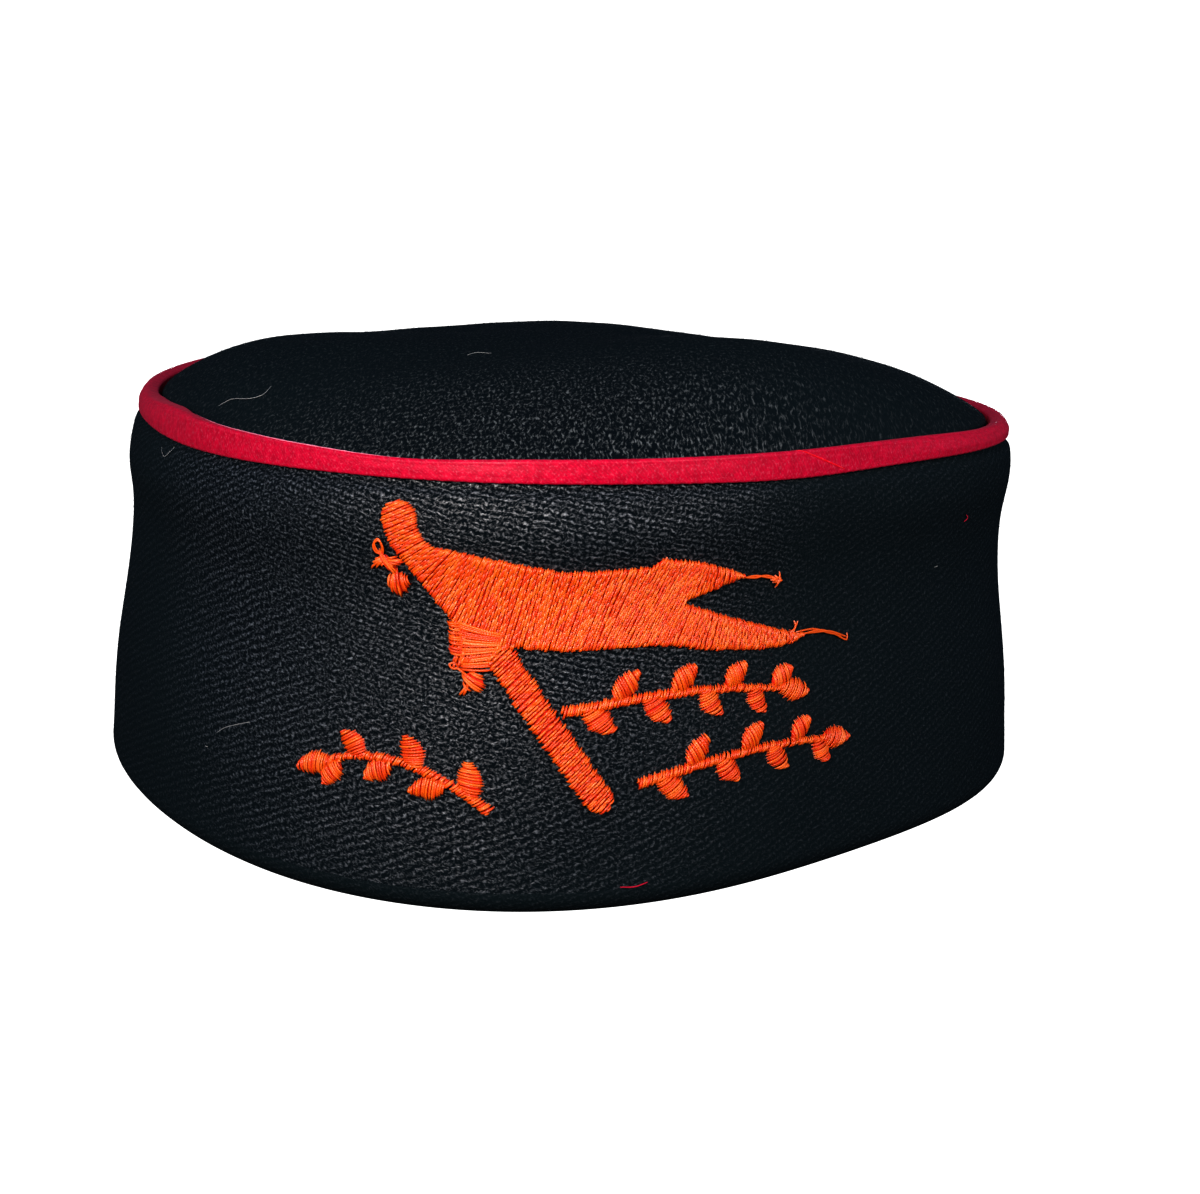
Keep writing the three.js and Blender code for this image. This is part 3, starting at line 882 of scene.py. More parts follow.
@dataclass(frozen=True)
class Band:
    """The turned-up band: doubled wool, folded under at the floor and hemmed inside, open at the back."""

    cloth: float = 2.6
    fold_radius: float = 4.8
    fold_flat: float = 1.0
    fold_cloth: float = 2.4
    hem: float = 11.0
    hem_lip: float = 0.8  # height of the hem's rounded top
    edge_outside: float = -0.5  # the cloth's faces where the binding presses it flat
    edge_cloth: float = 1.6
    thin_from: float = 3.3
    thin_to: float = 5.6
    binding_cloth: float = 1.0
    binding_foot: float = 9.0
    opening_at_floor: float = 2.0  # half widths, between the band's ends
    opening_at_rim: float = 20.0
    corner: float = 14.0
    crown_start: float = -3.9
    crown_edge: float = -6.0
    crown_dip: float = 1.2
    crown_cloth: float = 2.2
    stations: int = 420
    near_ends: tuple[float, ...] = (0, 0.9, 1.8, 2.7, 3.4, 4.1, 4.8, 5.8, 7.0)  # of the stations at an end
    near_reach: float = 8.0

    @property
    def top(self) -> float:
        """Height of the cloth's edge inside the binding."""
        return FORM.rim - self.binding_cloth - FORM.gap

    @property
    def crown_foot(self) -> float:
        """Height at which the crown's side wall starts."""
        return self.fold_cloth + FORM.gap

    @property
    def crown_seam(self) -> float:
        """Height at which the crown's side wall ends."""
        return FORM.rim - self.crown_dip - self.crown_cloth - FORM.gap

    def crown_face(self, height: Array) -> Array:
        """Returns the offset of the crown wall's outer face at each height."""
        share = (height - self.crown_foot) / (self.crown_seam - self.crown_foot)
        return mix(self.crown_start, self.crown_edge, share)

    def channel(self, height: Array) -> Array:
        """Returns the offset of the hem's outer face at each height, just clear of the crown wall."""
        return self.crown_face(height) - self.crown_cloth - FORM.gap

    def opening(self, height: Array) -> Array:
        """Returns half the distance between the band's ends at each height."""
        slant = mix(self.opening_at_floor, self.opening_at_rim, height / self.top)
        rise = np.maximum(height - (self.top - self.corner), 0)
        return slant + self.corner - np.sqrt(np.maximum(self.corner**2 - rise**2, 0))

    def edge_distance(self, from_back: Array, height: Array) -> Array:
        """Finds how far points of the band lie from its cut edge.

        Args:
            from_back: distance round from the middle of the back.
            height: above the floor.

        Returns:
            The distance to the edge along the top or the end.
        """
        corner_height = self.top - self.corner
        corner_along = self.opening(np.array(corner_height)) + self.corner
        rounded = self.corner - np.hypot(from_back - corner_along, height - corner_height)
        straight = np.minimum(self.top - height, from_back - self.opening(height))
        return np.where((height > corner_height) & (from_back < corner_along), rounded, straight)

    def faces(self, from_back: Array, height: Array) -> tuple[Array, Array]:
        """Finds the band's two faces.

        Args:
            from_back: distance round from the middle of the back.
            height: above the floor.

        Returns:
            The offsets of the outer and the inner face.
        """
        full = smoothstep(self.edge_distance(from_back, height), self.thin_from, self.thin_to)
        full = np.where(height < self.binding_foot - 1, 1.0, full)
        outer = mix(self.edge_outside, FORM.swell(height), full)
        return outer, mix(self.edge_outside - self.edge_cloth, FORM.swell(height) - self.cloth, full)

    def section(self) -> tuple[Array, Array, Array]:
        """Lays out the band's cross-section: up the outer face, down the inner one, round the fold and hem.

        Returns:
            For each row its kind (1 outer face, -1 inner face, 0 a fixed offset), fixed offset and height.
        """
        outer = np.concatenate([np.linspace(self.fold_radius, 72, 46), np.linspace(73, self.top, 9)])
        inner = np.concatenate([np.linspace(self.top, 73, 9), np.linspace(71, 8, 22)])
        hem_top = self.hem - self.hem_lip
        hem_heights = np.linspace(self.fold_cloth, hem_top, 6)
        hem_outside = self.channel(hem_heights)
        hem_inside = hem_outside - self.fold_cloth
        radius = self.fold_radius
        flat_end = -(radius + self.fold_flat)
        inner_radius = flat_end - hem_inside[0]
        turn = np.radians(np.linspace(0, 90, 8))
        outer_turn = np.radians(np.linspace(0, 82, 10))
        lip = np.radians(np.linspace(20, 160, 5))
        lip_middle = self.channel(hem_top) - self.fold_cloth / 2
        fixed = [
            (np.array([-self.cloth]), np.array([self.fold_cloth])),
            (hem_outside, hem_heights),
            (lip_middle + self.fold_cloth / 2 * np.cos(lip), hem_top + self.hem_lip * np.sin(lip)),
            (hem_inside[::-1], hem_heights[::-1]),
            (flat_end - inner_radius * np.cos(turn), inner_radius * (1 - np.sin(turn))),
            (radius * np.sin(outer_turn) - radius, radius * (1 - np.cos(outer_turn))),
        ]
        offsets = np.concatenate([0 * outer, 0 * inner] + [offset for offset, _ in fixed])
        heights = np.concatenate([outer, inner] + [height for _, height in fixed])
        kinds = np.zeros(len(heights))
        kinds[: len(outer)] = 1
        kinds[len(outer) : len(outer) + len(inner)] = -1
        return kinds, offsets, heights

    def build(self) -> Piece:
        """Builds the band's cloth as one closed mesh.

        Returns:
            The piece, which stands for the frame's band.
        """
        half_round = math.pi * FORM.half_width
        near = np.array(self.near_ends)
        share = np.linspace(-1, 1, self.stations - 2 * len(near) + 2)[1:-1]
        share = share[np.abs(share) < 1 - self.near_reach / half_round]
        share = np.concatenate([-1 + near / half_round, share, 1 - near[::-1] / half_round])
        kinds, fixed, heights = self.section()
        opening = self.opening(heights)[:, None]
        from_back = (1 - np.abs(share))[None, :] * half_round + opening
        angle = FRONT + share[None, :] * (math.pi - opening / FORM.half_width)
        outer, inner = self.faces(from_back, heights[:, None])
        along = FORM.along_at(angle)
        uneven = FORM.drape(along, heights[:, None]) * smoothstep(from_back - opening, 6, 20)
        offset = np.where(kinds[:, None] > 0, outer, np.where(kinds[:, None] < 0, inner, fixed[:, None]))
        offset = offset + np.where(kinds[:, None] == 0, 0, uneven)
        points = FORM.place(angle, heights[:, None], offset)
        steps = np.linalg.norm(np.diff(points[:, len(share) // 2], axis=0), axis=1)
        run = self.fold_radius + np.concatenate([[0], np.cumsum(steps), [np.sum(steps) + 1]])
        flat = np.stack(np.broadcast_arrays(np.vstack([along, along[:1]]), run[:, None]), -1)
        skin = Skin()
        skin.add_grid(points, flat, wrap_rows=True)
        rows, cols = points.shape[:2]
        for column in (0, cols - 1):
            skin.cap(np.arange(rows) * cols + column, np.stack([offset[:, column], heights], -1))
        piece = skin.piece("band_cloth", BAND_WOOL.material(), recalculate=True)
        return settle(piece, "wool_cloth", "band")


BAND = Band()


@dataclass(frozen=True)
class Crown:
    """The crown: a side wall that stands in the band's fold, and a soft domed tip on it."""

    rise: float = 11.2
    fullness: float = 4.0
    lobes: tuple[Lobe, ...] = (Lobe(1, 0.27, -0.25, 1), Lobe(2, 0.31, -0.22, 2), Lobe(3, -0.3, -0.36, 2))
    ripples: tuple[Ripple, ...] = (
        Ripple(71, 34, 9, 0.3), Ripple(43, -52, 20, 0.2),
        Ripple(29, 81, 5, 0.12), Ripple(17, 8, 2, 0.05),
    )
    stations: int = 320
    edge: float = -3.95  # offset of the tip's edge, just clear of the binding
    dip: float = 1.0

    @property
    def angles(self) -> Array:
        """Angles of the stations round the cap."""
        return FRONT + (np.arange(self.stations) + 0.5) / self.stations * 2 * math.pi

    def tip(self, angle: Array, share: Array, under: Array) -> Array:
        """Finds points of the crown's tip.

        Args:
            angle: where round the cap, in radians.
            share: from 0 in the middle to 1 at the edge.
            under: how far below the outer face.

        Returns:
            One point for each, in millimetres.
        """
        angle, share, under = np.broadcast_arrays(angle, share, under)
        edge = FORM.place(angle, FORM.rim, self.edge)
        middle = -np.array(FORM.middle)
        dome = 1 - share**self.fullness
        rise = self.rise * dome * (1 + waves(self.lobes, angle, share))
        rim = mix(FORM.rim, edge[..., 2], share) - self.dip * (1 - dome)
        flat = mix(middle, edge[..., :2], share[..., None])
        uneven = rippled(self.ripples, flat[..., 0], flat[..., 1]) * dome
        return np.concatenate([flat, (rim + rise + uneven - under)[..., None]], -1)

    def build_tip(self) -> Piece:
        """Builds the tip as one closed mesh.

        Returns:
            The piece, which stands for the frame's crown_top.
        """
        angle = self.angles
        top = np.concatenate([np.linspace(0.02, 0.8, 36), np.linspace(0.81, 0.985, 20)])
        edge = np.array([[0.994, 0.15], [0.999, 0.5], [1.0, 0.9], [1.0, 1.4], [0.998, 1.8], [0.99, 2.1]])
        below = np.linspace(0.975, 0.03, 24)
        share = np.concatenate([top, edge[:, 0], below])[:, None]
        under = np.concatenate([0 * top, edge[:, 1], 0 * below + BAND.crown_cloth])[:, None]
        points = self.tip(angle[None, :], share, under)
        flat = np.concatenate([points, points[:, :1]], 1)[..., :2]
        skin = Skin()
        skin.add_grid(points, flat, wrap_cols=True)
        last = (len(share) - 1) * self.stations
        for first, ring in ((0, points[0]), (last, points[-1])):
            skin.cap(np.arange(first, first + self.stations), ring[:, :2])
        piece = skin.piece("crown_top_cloth", CROWN_WOOL.material(), recalculate=True)
        return settle(piece, "wool_cloth", "crown_top")

    def build_wall(self) -> Piece:
        """Builds the side wall as one closed ring.

        Returns:
            The piece, which stands for the frame's crown_wall.
        """
        angle = self.angles
        heights = np.linspace(BAND.crown_foot, BAND.crown_seam, 40)
        faces = BAND.crown_face(heights)
        offset = np.concatenate([faces, faces[::-1] - BAND.crown_cloth])[:, None]
        both = np.concatenate([heights, heights[::-1]])[:, None]
        points = FORM.place(angle[None, :], both, offset)
        along = FORM.along_at(FRONT + (angle - FRONT + math.pi) % (2 * math.pi) - math.pi)
        lap = np.ptp(FORM.rim_table[1])
        along = np.unwrap(np.append(along, along[0] + lap), period=lap)
        run = np.append(np.concatenate([heights, 2 * heights[-1] - heights[::-1]]), 2 * heights[-1])
        flat = np.stack(np.broadcast_arrays(along[None, :], run[:, None]), -1)
        skin = Skin()
        skin.add_grid(points, flat, wrap_rows=True, wrap_cols=True)
        piece = skin.piece("crown_wall_cloth", BAND_WOOL.material(), recalculate=True)
        return settle(piece, "wool_cloth", "crown_wall")


CROWN = Crown()


@dataclass(frozen=True)
class Edge:
    """The band's cut edge: its points, the directions into the band and outwards, and the distances run."""

    points: Array
    into: Array
    outward: Array
    run: Array

    def beside(self, places: Array, depth: Array, out: Array) -> tuple[Array, Array]:
        """Finds points beside the edge.

        Args:
            places: distances along it.
            depth: how far into the band.
            out: how far outwards.

        Returns:
            The points, and the outward directions there.
        """
        tables = (self.points, self.into, self.outward)
        points, into, outward = (looked_up(places, self.run, table) for table in tables)
        return points + into * depth[..., None] + outward * out[..., None], outward


@dataclass(frozen=True)
class Binding:
    """The satin strip folded over the band's edge and sewn through it, with a slanting join near the front.

    Its tables give distances along the rim from the front middle.
    """

    cloth: float = 1.0
    gap: float = 0.25
    leg: float = 2.9  # below the edge of the cloth inside it
    corner: float = 0.6  # radius of its upper outer edge
    slope: float = 0.9  # how far the top drops towards the inside
    wider: tuple[Swell, ...] = (Swell(-84, 38, 0.8), Swell(50, 26, 0.85), Swell(-35, 22, -0.1))
    taller: tuple[Swell, ...] = (
        Swell(-92, 20, 1.4),
        Swell(-62, 20, 0.3),
        Swell(-22, 15, -0.7),
        Swell(90, 24, 0.7),
    )
    stitch: float = 2.3  # along the strip, from one sewing stitch to the next
    stitch_gap: float = 0.6
    dent: Swell = Swell(1.95, 0.3, 0.05)  # where the stitches press the strip in, below the cloth's edge
    belly: float = 0.06  # how far its face stands out
    sewing_radius: float = 0.075
    pull: float = 0.1  # how far each stitch pulls the strip's edge up
    puff: float = 0.05  # how far the strip puffs out between stitches
    waver: float = 0.1  # how far its upper part strays
    join_from: float = 49.8  # where the join starts at the top
    join_to: float = 64.0
    join_radius: float = 0.19
    highlight_from: float = -84.0  # where the highlight painted along the strip's upper edge starts
    highlight_to: float = -22.0
    highlight_radius: float = 0.13
    turned_in: Swell = Swell(-108.0, 17.0, 1.4)  # where the strip is folded wider inside
    rolled_from: float = 66.0  # how far round from the front the strip's upper edge starts to be rolled
    rolled_to: float = 96.0
    rolled_down: float = 1.0
    rolled_in: float = 0.55

    @property
    def inside(self) -> float:
        """Distance from the middle of the cloth to the strip's inner face."""
        return BAND.edge_cloth / 2 + self.gap

    @property
    def face(self) -> float:
        """Distance from the middle of the cloth to the strip's outer face."""
        return self.inside + self.cloth

    def path(self) -> tuple[Array, Array]:
        """Lays out the band's cut edge from one end round to the other.

        Returns:
            The angles round the cap and the heights.
        """
        corner_height = BAND.top - BAND.corner
        rise = np.linspace(BAND.binding_foot, corner_height, 90)[:-1]
        turn = corner_height + BAND.corner * np.sin(np.radians(np.linspace(0, 90, 40)))
        heights = np.concatenate([rise, turn])
        from_back = BAND.opening(heights)
        run = np.linspace(from_back[-1], math.pi * FORM.half_width, 560)[1:]
        from_back = np.concatenate([from_back, run])
        heights = np.concatenate([heights, 0 * run + BAND.top])
        angle = FRONT - math.pi + from_back / FORM.half_width
        return np.concatenate([angle, 2 * FRONT - angle[-2::-1]]), np.concatenate([heights, heights[-2::-1]])

    def edge(self) -> Edge:
        """Places a frame at each step of the band's cut edge.

        Returns:
            The edge, with its distances counted from the front middle.
        """
        angle, height = self.path()
        points = FORM.place(angle, height, BAND.edge_outside - BAND.edge_cloth / 2)
        outward = FORM.outward(angle)
        into = unit(np.cross(unit(np.gradient(points, axis=0)), outward))
        run = run_of(points)
        return Edge(points, into, outward, run - run[-1] / 2)

    def profile(self) -> Array:
        """Lays out the strip's cross-section.

        Returns:
            Rows of depth into the band and distance out from its middle.
        """
        lip = self.cloth / 2
        turn = np.radians(np.linspace(-90, 90, 9))
        rolled = np.stack([self.leg - lip + lip * np.cos(turn), self.inside + lip + lip * np.sin(turn)], -1)
        top = -self.cloth - FORM.gap
        depth = np.linspace(self.leg - lip, top + self.corner, 12)[1:-1]
        pressed = self.face - swollen((self.dent,), depth) + self.belly * np.sin(math.pi * depth / self.leg)
        turn = np.radians(np.linspace(0, 90, 7))
        rounded = [top + self.corner * (1 - np.sin(turn)), self.face - self.corner * (1 - np.cos(turn))]
        outer = np.concatenate([rolled, np.stack([depth, pressed], -1), np.stack(rounded, -1)])
        inner = outer[::-1] * (1, -1)
        across = np.linspace(self.face - self.corner, self.corner - self.face, 6)[1:-1]
        crest = np.stack([0 * across + top, across], -1)
        closed = np.concatenate([outer, crest, inner])
        drop = self.drop(closed[:, 1])
        closed[:, 0] += drop * np.clip((self.leg - closed[:, 0]) / (self.leg - top), 0, 1)
        channel = np.array([[0.25, -self.inside], [0.0, 0], [-FORM.gap, self.inside]])
        return np.concatenate([closed, channel])

    def drop(self, out: Array) -> Array:
        """Returns how far the strip's top drops at distances out from its middle."""
        return self.slope * smoothstep(-out, self.corner - self.face, self.face)

    def shape(self, profile: Array, run: Array) -> tuple[Array, Array]:
        """Varies the strip's cross-section along the edge.

        Args:
            profile: the even cross-section.
            run: distances along the edge.

        Returns:
            The depths into the band and the distances out, one row for each corner of the section.
        """
        depth = profile[:, 0][:, None]
        low = smoothstep(depth, 1.4, 2.6)
        wide, tall = swollen(self.wider, run)[None, :], swollen(self.taller, run)[None, :]
        depth = depth + wide * smoothstep(depth, 0.2, 2.0) - tall * (1 - smoothstep(depth, -1.0, 1.6))
        pulled = self.pull * low * np.abs(np.cos(math.pi * run / self.stitch))[None, :]
        sides = np.sign(profile[:, 1])[:, None]
        puffed = self.puff * low * np.cos(2 * math.pi * run / self.stitch)[None, :] * sides
        wavy = self.waver * np.sin(run / 9.1) * np.sin(run / 23.0 + 1)
        out = profile[:, 1][:, None] + puffed + wavy[None, :] * (1 - low)
        turned = self.turned_in
        folded = turned.size * np.exp(-(((run - turned.at) / turned.reach) ** 4))
        out = out - folded * smoothstep(-profile[:, 1], 0, 1.4)[:, None] * (1 - low)
        rolled = smoothstep(np.abs(run), self.rolled_from, self.rolled_to)[None, :]
        upper = 1 - smoothstep(profile[:, 0], -1.3, 1.5)
        upper[-3:] = 0  # the strip's inner face stays off the cloth
        outer = smoothstep(profile[:, 1], -1.5, self.face)
        depth = depth + rolled * (self.rolled_down * upper * outer**2)[:, None]
        out = out - rolled * (self.rolled_in * upper * (profile[:, 1] > 1))[:, None]
        return depth - pulled, out

    def build(self) -> Piece:
        """Builds the strip, its sewing stitches, its join and the highlight painted along its upper edge.

        Returns:
            The strip, which stands for the frame's band_binding.
        """
        edge, profile = self.edge(), self.profile()
        depth, out = self.shape(profile, edge.run)
        ring = edge.points + edge.into * depth[..., None] + edge.outward * out[..., None]
        around = run_of(np.vstack([profile, profile[:1]]))
        flat = np.stack(np.broadcast_arrays(edge.run[None, :], around[:, None]), -1)
        skin = Skin()
        skin.add_grid(ring, flat, wrap_rows=True)
        rows, cols = ring.shape[:2]
        for column in (0, cols - 1):
            skin.cap(np.arange(rows) * cols + column, profile)
        strip = skin.piece("binding_satin", SATIN.material(), recalculate=True)
        settle(strip, "satin_binding", "band_binding")
        self.build_sewing(edge)
        self.build_join(edge, profile)
        self.build_painted_highlight(edge)
        return strip

    def build_sewing(self, edge: Edge) -> Piece:
        """Builds the row of small stitches along the strip's outer edge.

        Args:
            edge: the band's cut edge.

        Returns:
            The stitches.
        """
        starts = np.arange(edge.run[0] + 2, edge.run[-1] - 2, self.stitch)
        steps = np.linspace(0, 1, 5)
        at = starts[:, None] + (0.2 + steps * (self.stitch - self.stitch_gap))[None, :]
        depth = self.dent.at + swollen(self.wider, at) * 0.95
        arch = np.sin(math.pi * steps)
        paths, ups = edge.beside(at, depth, self.face - 0.2 + 0.17 * arch)
        radii = np.broadcast_to(self.sewing_radius * (0.6 + 0.4 * arch), at.shape)
        return lay_strands("binding_stitches", SEWING_THREAD, "satin_binding", paths, ups, radii, sides=5)

    def build_join(self, edge: Edge, profile: Array) -> Piece:
        """Builds the fold where the strip's two ends are joined on the slant.

        Args:
            edge: the band's cut edge.
            profile: the strip's cross-section.

        Returns:
            The fold.
        """
        front = by_length(profile[4:26], np.linspace(1, 0, 24))
        share = np.linspace(0, 1, 24)
        at = mix(self.join_from, self.join_to, share)
        path, ups = edge.beside(at, front[:, 0], front[:, 1] + 0.02)
        radii = self.join_radius * np.sin(np.pi * np.clip(share, 0.08, 0.92)) ** 0.4
        strand = (path[None], ups[None], radii[None])
        # the fold is real; its brighter satin is a painted highlight
        return lay_strands("binding_join", SATIN_JOIN_HIGHLIGHT, "satin_binding", *strand, sides=8, flatness=0.7)

    def build_painted_highlight(self, edge: Edge) -> Piece:
        """Builds a thin pale strand along the strip's upper edge: a painted highlight.

        Args:
            edge: the band's cut edge.

        Returns:
            The painted highlight.
        """
        share = np.linspace(0, 1, 90)
        at = mix(self.highlight_from, self.highlight_to, share)
        out = mix(-1.2, self.face - 0.42, smoothstep(at, -88, -44))
        depth = self.drop(out) - swollen(self.taller, at) - self.cloth - FORM.gap - 0.03
        path, ups = edge.beside(at, depth, out)
        taper, uneven = 1 - np.abs(2 * share - 1) ** 3, 0.8 + 0.2 * np.sin(at * 1.3) * np.sin(at * 0.37)
        radii = np.maximum(self.highlight_radius * taper * uneven, 0.02)
        return lay_strands("binding_painted_highlight", SATIN_EDGE_HIGHLIGHT, "satin_binding", path[None], ups[None], radii[None])


BINDING = Binding()


# Embroidery


class Lay(Enum):
    """How the stitches of a filled shape lie."""

    SATIN = "one span from edge to edge"
    TATAMI = "short stitches end to end, each row stepped from the last"


def spline(points: Array, steps: int = 8) -> Array:
    """Draws a smooth line through points.

    Args:
        points: the points, one row each.
        steps: how many pieces each span is drawn in.

    Returns:
        The line's points, without its first.
    """
    ends = np.vstack([points[:1], points, points[-1:]])
    share = (np.arange(1, steps + 1) / steps)[:, None]
    spans = []
    for before, first, last, after in zip(ends, ends[1:], ends[2:], ends[3:]):
        leave, arrive = (last - before) / 2, (after - first) / 2
        cubic = (2 * first - 2 * last + leave + arrive) * share**3
        square = (3 * last - 3 * first - 2 * leave - arrive) * share**2
        spans.append(cubic + square + leave * share + first)
    return np.vstack(spans)


def bowed(first: Array | Pair, bow: Array | Pair, last: Array | Pair, steps: int = 10) -> Array:
    """Draws a curve that is pulled towards one point.

    Args:
        first: where the curve starts.
        bow: the point that it is pulled towards.
        last: where the curve ends.
        steps: how many pieces it is drawn in.

    Returns:
        The curve's points, with both ends.
    """
    share = np.linspace(0, 1, steps + 1)[:, None]
    return (1 - share) ** 2 * first + 2 * share * (1 - share) * bow + share**2 * last


def disc(middle: Pair, radius: float, first: float = 0.0, last: float = 360.0, steps: int = 24) -> Array:
    """Draws a round outline, or an arc of it from first to last in degrees."""
    turns = np.linspace(first, last, steps, endpoint=last - first < 360)
    return middle + radius * heading(turns)


def leaf_outline(base: Array, tip: Array, width: float, widest: float) -> Array:
    """Draws a pointed leaf.

    Args:
        base: where it starts.
        tip: where it ends.
        width: its full width.
        widest: how far along it is widest, as a share of its length.

    Returns:
        The closed outline, one row for each corner.
    """
    middle = mix(base, tip, widest)
    side = left_of(unit(tip - base)) * width
    return np.vstack([bowed(base, middle - side, tip)[:-1], bowed(tip, middle + side, base)[:-1]])


def spans_inside(outlines: Sequence[Array], start: Array, way: Array) -> list[Pair]:
    """Finds where a straight line runs inside any of a set of outlines.

    Args:
        outlines: closed outlines, one row for each corner.
        start: a point of the line.
        way: the line's direction.

    Returns:
        The spans inside, as distances from start, merged where outlines overlap.
    """
    side = left_of(way)
    found: list[Pair] = []
    for outline in outlines:
        across = (outline - start) @ side
        after = np.roll(across, -1)
        crossing = (across > 0) != (after > 0)
        share = across[crossing] / (across[crossing] - after[crossing])
        points = mix(outline[crossing], np.roll(outline, -1, 0)[crossing], share[:, None])
        at = np.sort((points - start) @ way)
        found += list(zip(at[0::2], at[1::2]))
    merged: list[Pair] = []
    for low, high in sorted(found):
        if merged and low <= merged[-1][1]:
            merged[-1] = (merged[-1][0], max(high, merged[-1][1]))
        else:
            merged.append((low, high))
    return merged


@dataclass
class Stitches:
    """Stitches in the making: their two ends, how deep each end dips, and how high the middle stands."""

    starts: list[Array] = field(default_factory=list)
    ends: list[Array] = field(default_factory=list)
    dips: list[Pair] = field(default_factory=list)
    peaks: list[float] = field(default_factory=list)
    bend: float = 0.05  # how far threads bow sideways
    unevenness: float = 0.035  # how much their heights differ
    boxiness: float = 2.6  # the power of a stitch's arch: the higher, the flatter its top
    thickness: Pair = (0.92, 1.1)  # of the thinnest and the thickest thread
    thin_end: float = 0.62  # radius at an end, as a share of the middle's

    def add(self, start: Array, end: Array, dips: Pair, peak: float) -> None:
        """Adds one stitch from start to end."""
        self.starts.append(start)
        self.ends.append(end)
        self.dips.append(dips)
        self.peaks.append(peak)

    def sew(self, skin: Skin, radius: float, rng: np.random.Generator, steps: int = 7) -> None:
        """Lays the stitches on the band as arched threads.

        Args:
            skin: the mesh that takes them.
            radius: the thread's radius.
            rng: the source of small differences.
            steps: points along each thread.
        """
        share = np.linspace(0, 1, steps)
        starts, ends = np.array(self.starts), np.array(self.ends)
        flat = mix(starts[:, None], ends[:, None], share[None, :, None])
        across = left_of(unit(ends - starts))
        bend = rng.normal(0, self.bend, len(starts))[:, None] * np.sin(math.pi * share)
        flat = flat + across[:, None] * bend[..., None]
        dips = np.array(self.dips)
        ground = mix(dips[:, :1], dips[:, 1:], share[None, :])
        arch = 1 - np.abs(2 * share - 1) ** self.boxiness
        peaks = (np.array(self.peaks) + rng.normal(0, self.unevenness, len(starts)))[:, None]
        lift = mix(ground, np.broadcast_to(peaks, ground.shape), arch)
        paths = FORM.on_band(flat[..., 0], flat[..., 1], lift)
        ups = FORM.outward(FORM.angle_at(flat[..., 0]))
        thick = radius * rng.uniform(*self.thickness, len(starts))[:, None]
        radii = thick * mix(self.thin_end, 1.0, np.minimum(arch * 2.5, 1))
        skin.add_strands(paths, ups, radii)


@dataclass(frozen=True)
class Fan:
    """Long threads side by side that start spread out and end close together."""

    starts: tuple[Pair, Pair]  # of the first and the last thread
    ends: tuple[Pair, Pair]
    threads: int
    peak: float = 1.15
    scatter: float = 0.12  # how far the threads' ends stray
    dips: Pair = (-0.12, 0.3)

    def sew(self, stitches: Stitches, rng: np.random.Generator) -> None:
        """Lays the threads.

        Args:
            stitches: takes them.
            rng: the source of small differences.
        """
        for share in np.linspace(0, 1, self.threads):
            start, end = (
                mix(*np.array(pair), share) + rng.normal(0, self.scatter, 2)
                for pair in (self.starts, self.ends)
            )
            stitches.add(start, end, self.dips, self.peak)


@dataclass(frozen=True)
class Fill:
    """A shape filled with parallel stitches, which turn as the guides turn."""

    outlines: tuple[Array, ...]
    guides: Line  # places of the line that the stitches cross, and their slant there in degrees
    lay: Lay = Lay.SATIN
    spacing: float = 0.38  # between neighbouring threads
    length: float = 1.8  # of a tatami stitch
    peak: float = 0.95  # height of the stitches over the cloth
    ragged: float = 0.28  # how far stitches run past the outline
    short: float = 0.1  # how far they may end before it
    shortest: float = 0.5  # narrower places of the shape are left bare
    end_dip: float = -0.12  # where a stitch turns down into the cloth
    hole_dip: float = 0.67  # where two tatami stitches share a hole
    hole_jitter: float = 0.3
    edge_room: float = 0.9  # between such a hole and the outline
    step: float = 0.37  # of a stitch, from one tatami row to the next
    lap: float = 0.16  # how far tatami stitches that share a hole crowd into it
    stray: float = 0.07  # how far a thread strays sideways

    def lines(self) -> list[tuple[Array, Array]]:
        """Spreads the stitch lines evenly along the guides.

        Returns:
            A point and a direction for each line.
        """
        table = np.array(self.guides)
        knots = run_of(table[:, :2])
        places = looked_up(np.linspace(0, knots[-1], 400), knots, table)
        ways = heading(places[:, 2])
        steps = np.diff(places[:, :2], axis=0)
        passed = np.abs(steps[:, 0] * ways[1:, 1] - steps[:, 1] * ways[1:, 0])
        run = np.concatenate([[0], np.cumsum(passed)])
        wanted = np.arange(0, run[-1], self.spacing)
        return [(row[:2], heading(row[2])) for row in looked_up(wanted, run, places)]

    def sew(self, stitches: Stitches, rng: np.random.Generator) -> None:
        """Fills the shape.

        Args:
            stitches: takes the new stitches.
            rng: the source of small differences.
        """
        for number, (start, way) in enumerate(self.lines()):
            start = start + left_of(way) * rng.normal(0, self.stray)
            spans = spans_inside(self.outlines, start, way)
            if not spans:
                continue
            low, high = min(spans, key=lambda span: max(span[0], -span[1], 0))
            if high - low < self.shortest:
                continue
            low = low - rng.uniform(-self.short, self.ragged)
            high = high + rng.uniform(-self.short, self.ragged)
            cuts = [low, high]
            if self.lay is Lay.TATAMI:
                step = self.length * (number * self.step % 1)
                inner = np.arange(math.floor(low / self.length) - 1, high / self.length + 1)
                inner = inner * self.length + step
                inner = inner + rng.uniform(-self.hole_jitter, self.hole_jitter, len(inner))
                room = self.edge_room
                cuts = [low, *(cut for cut in inner if low + room < cut < high - room), high]
            for first, last in zip(cuts, cuts[1:]):
                edges = (first == low, last == high)
                dips = tuple(self.end_dip if edge else self.hole_dip for edge in edges)
                laps = [0.0 if edge else self.lap for edge in edges]
                peak = self.peak * min(1.0, 0.65 + (last - first) / 6)
                stitches.add(start + way * (first - laps[0]), start + way * (last + laps[1]), dips, peak)


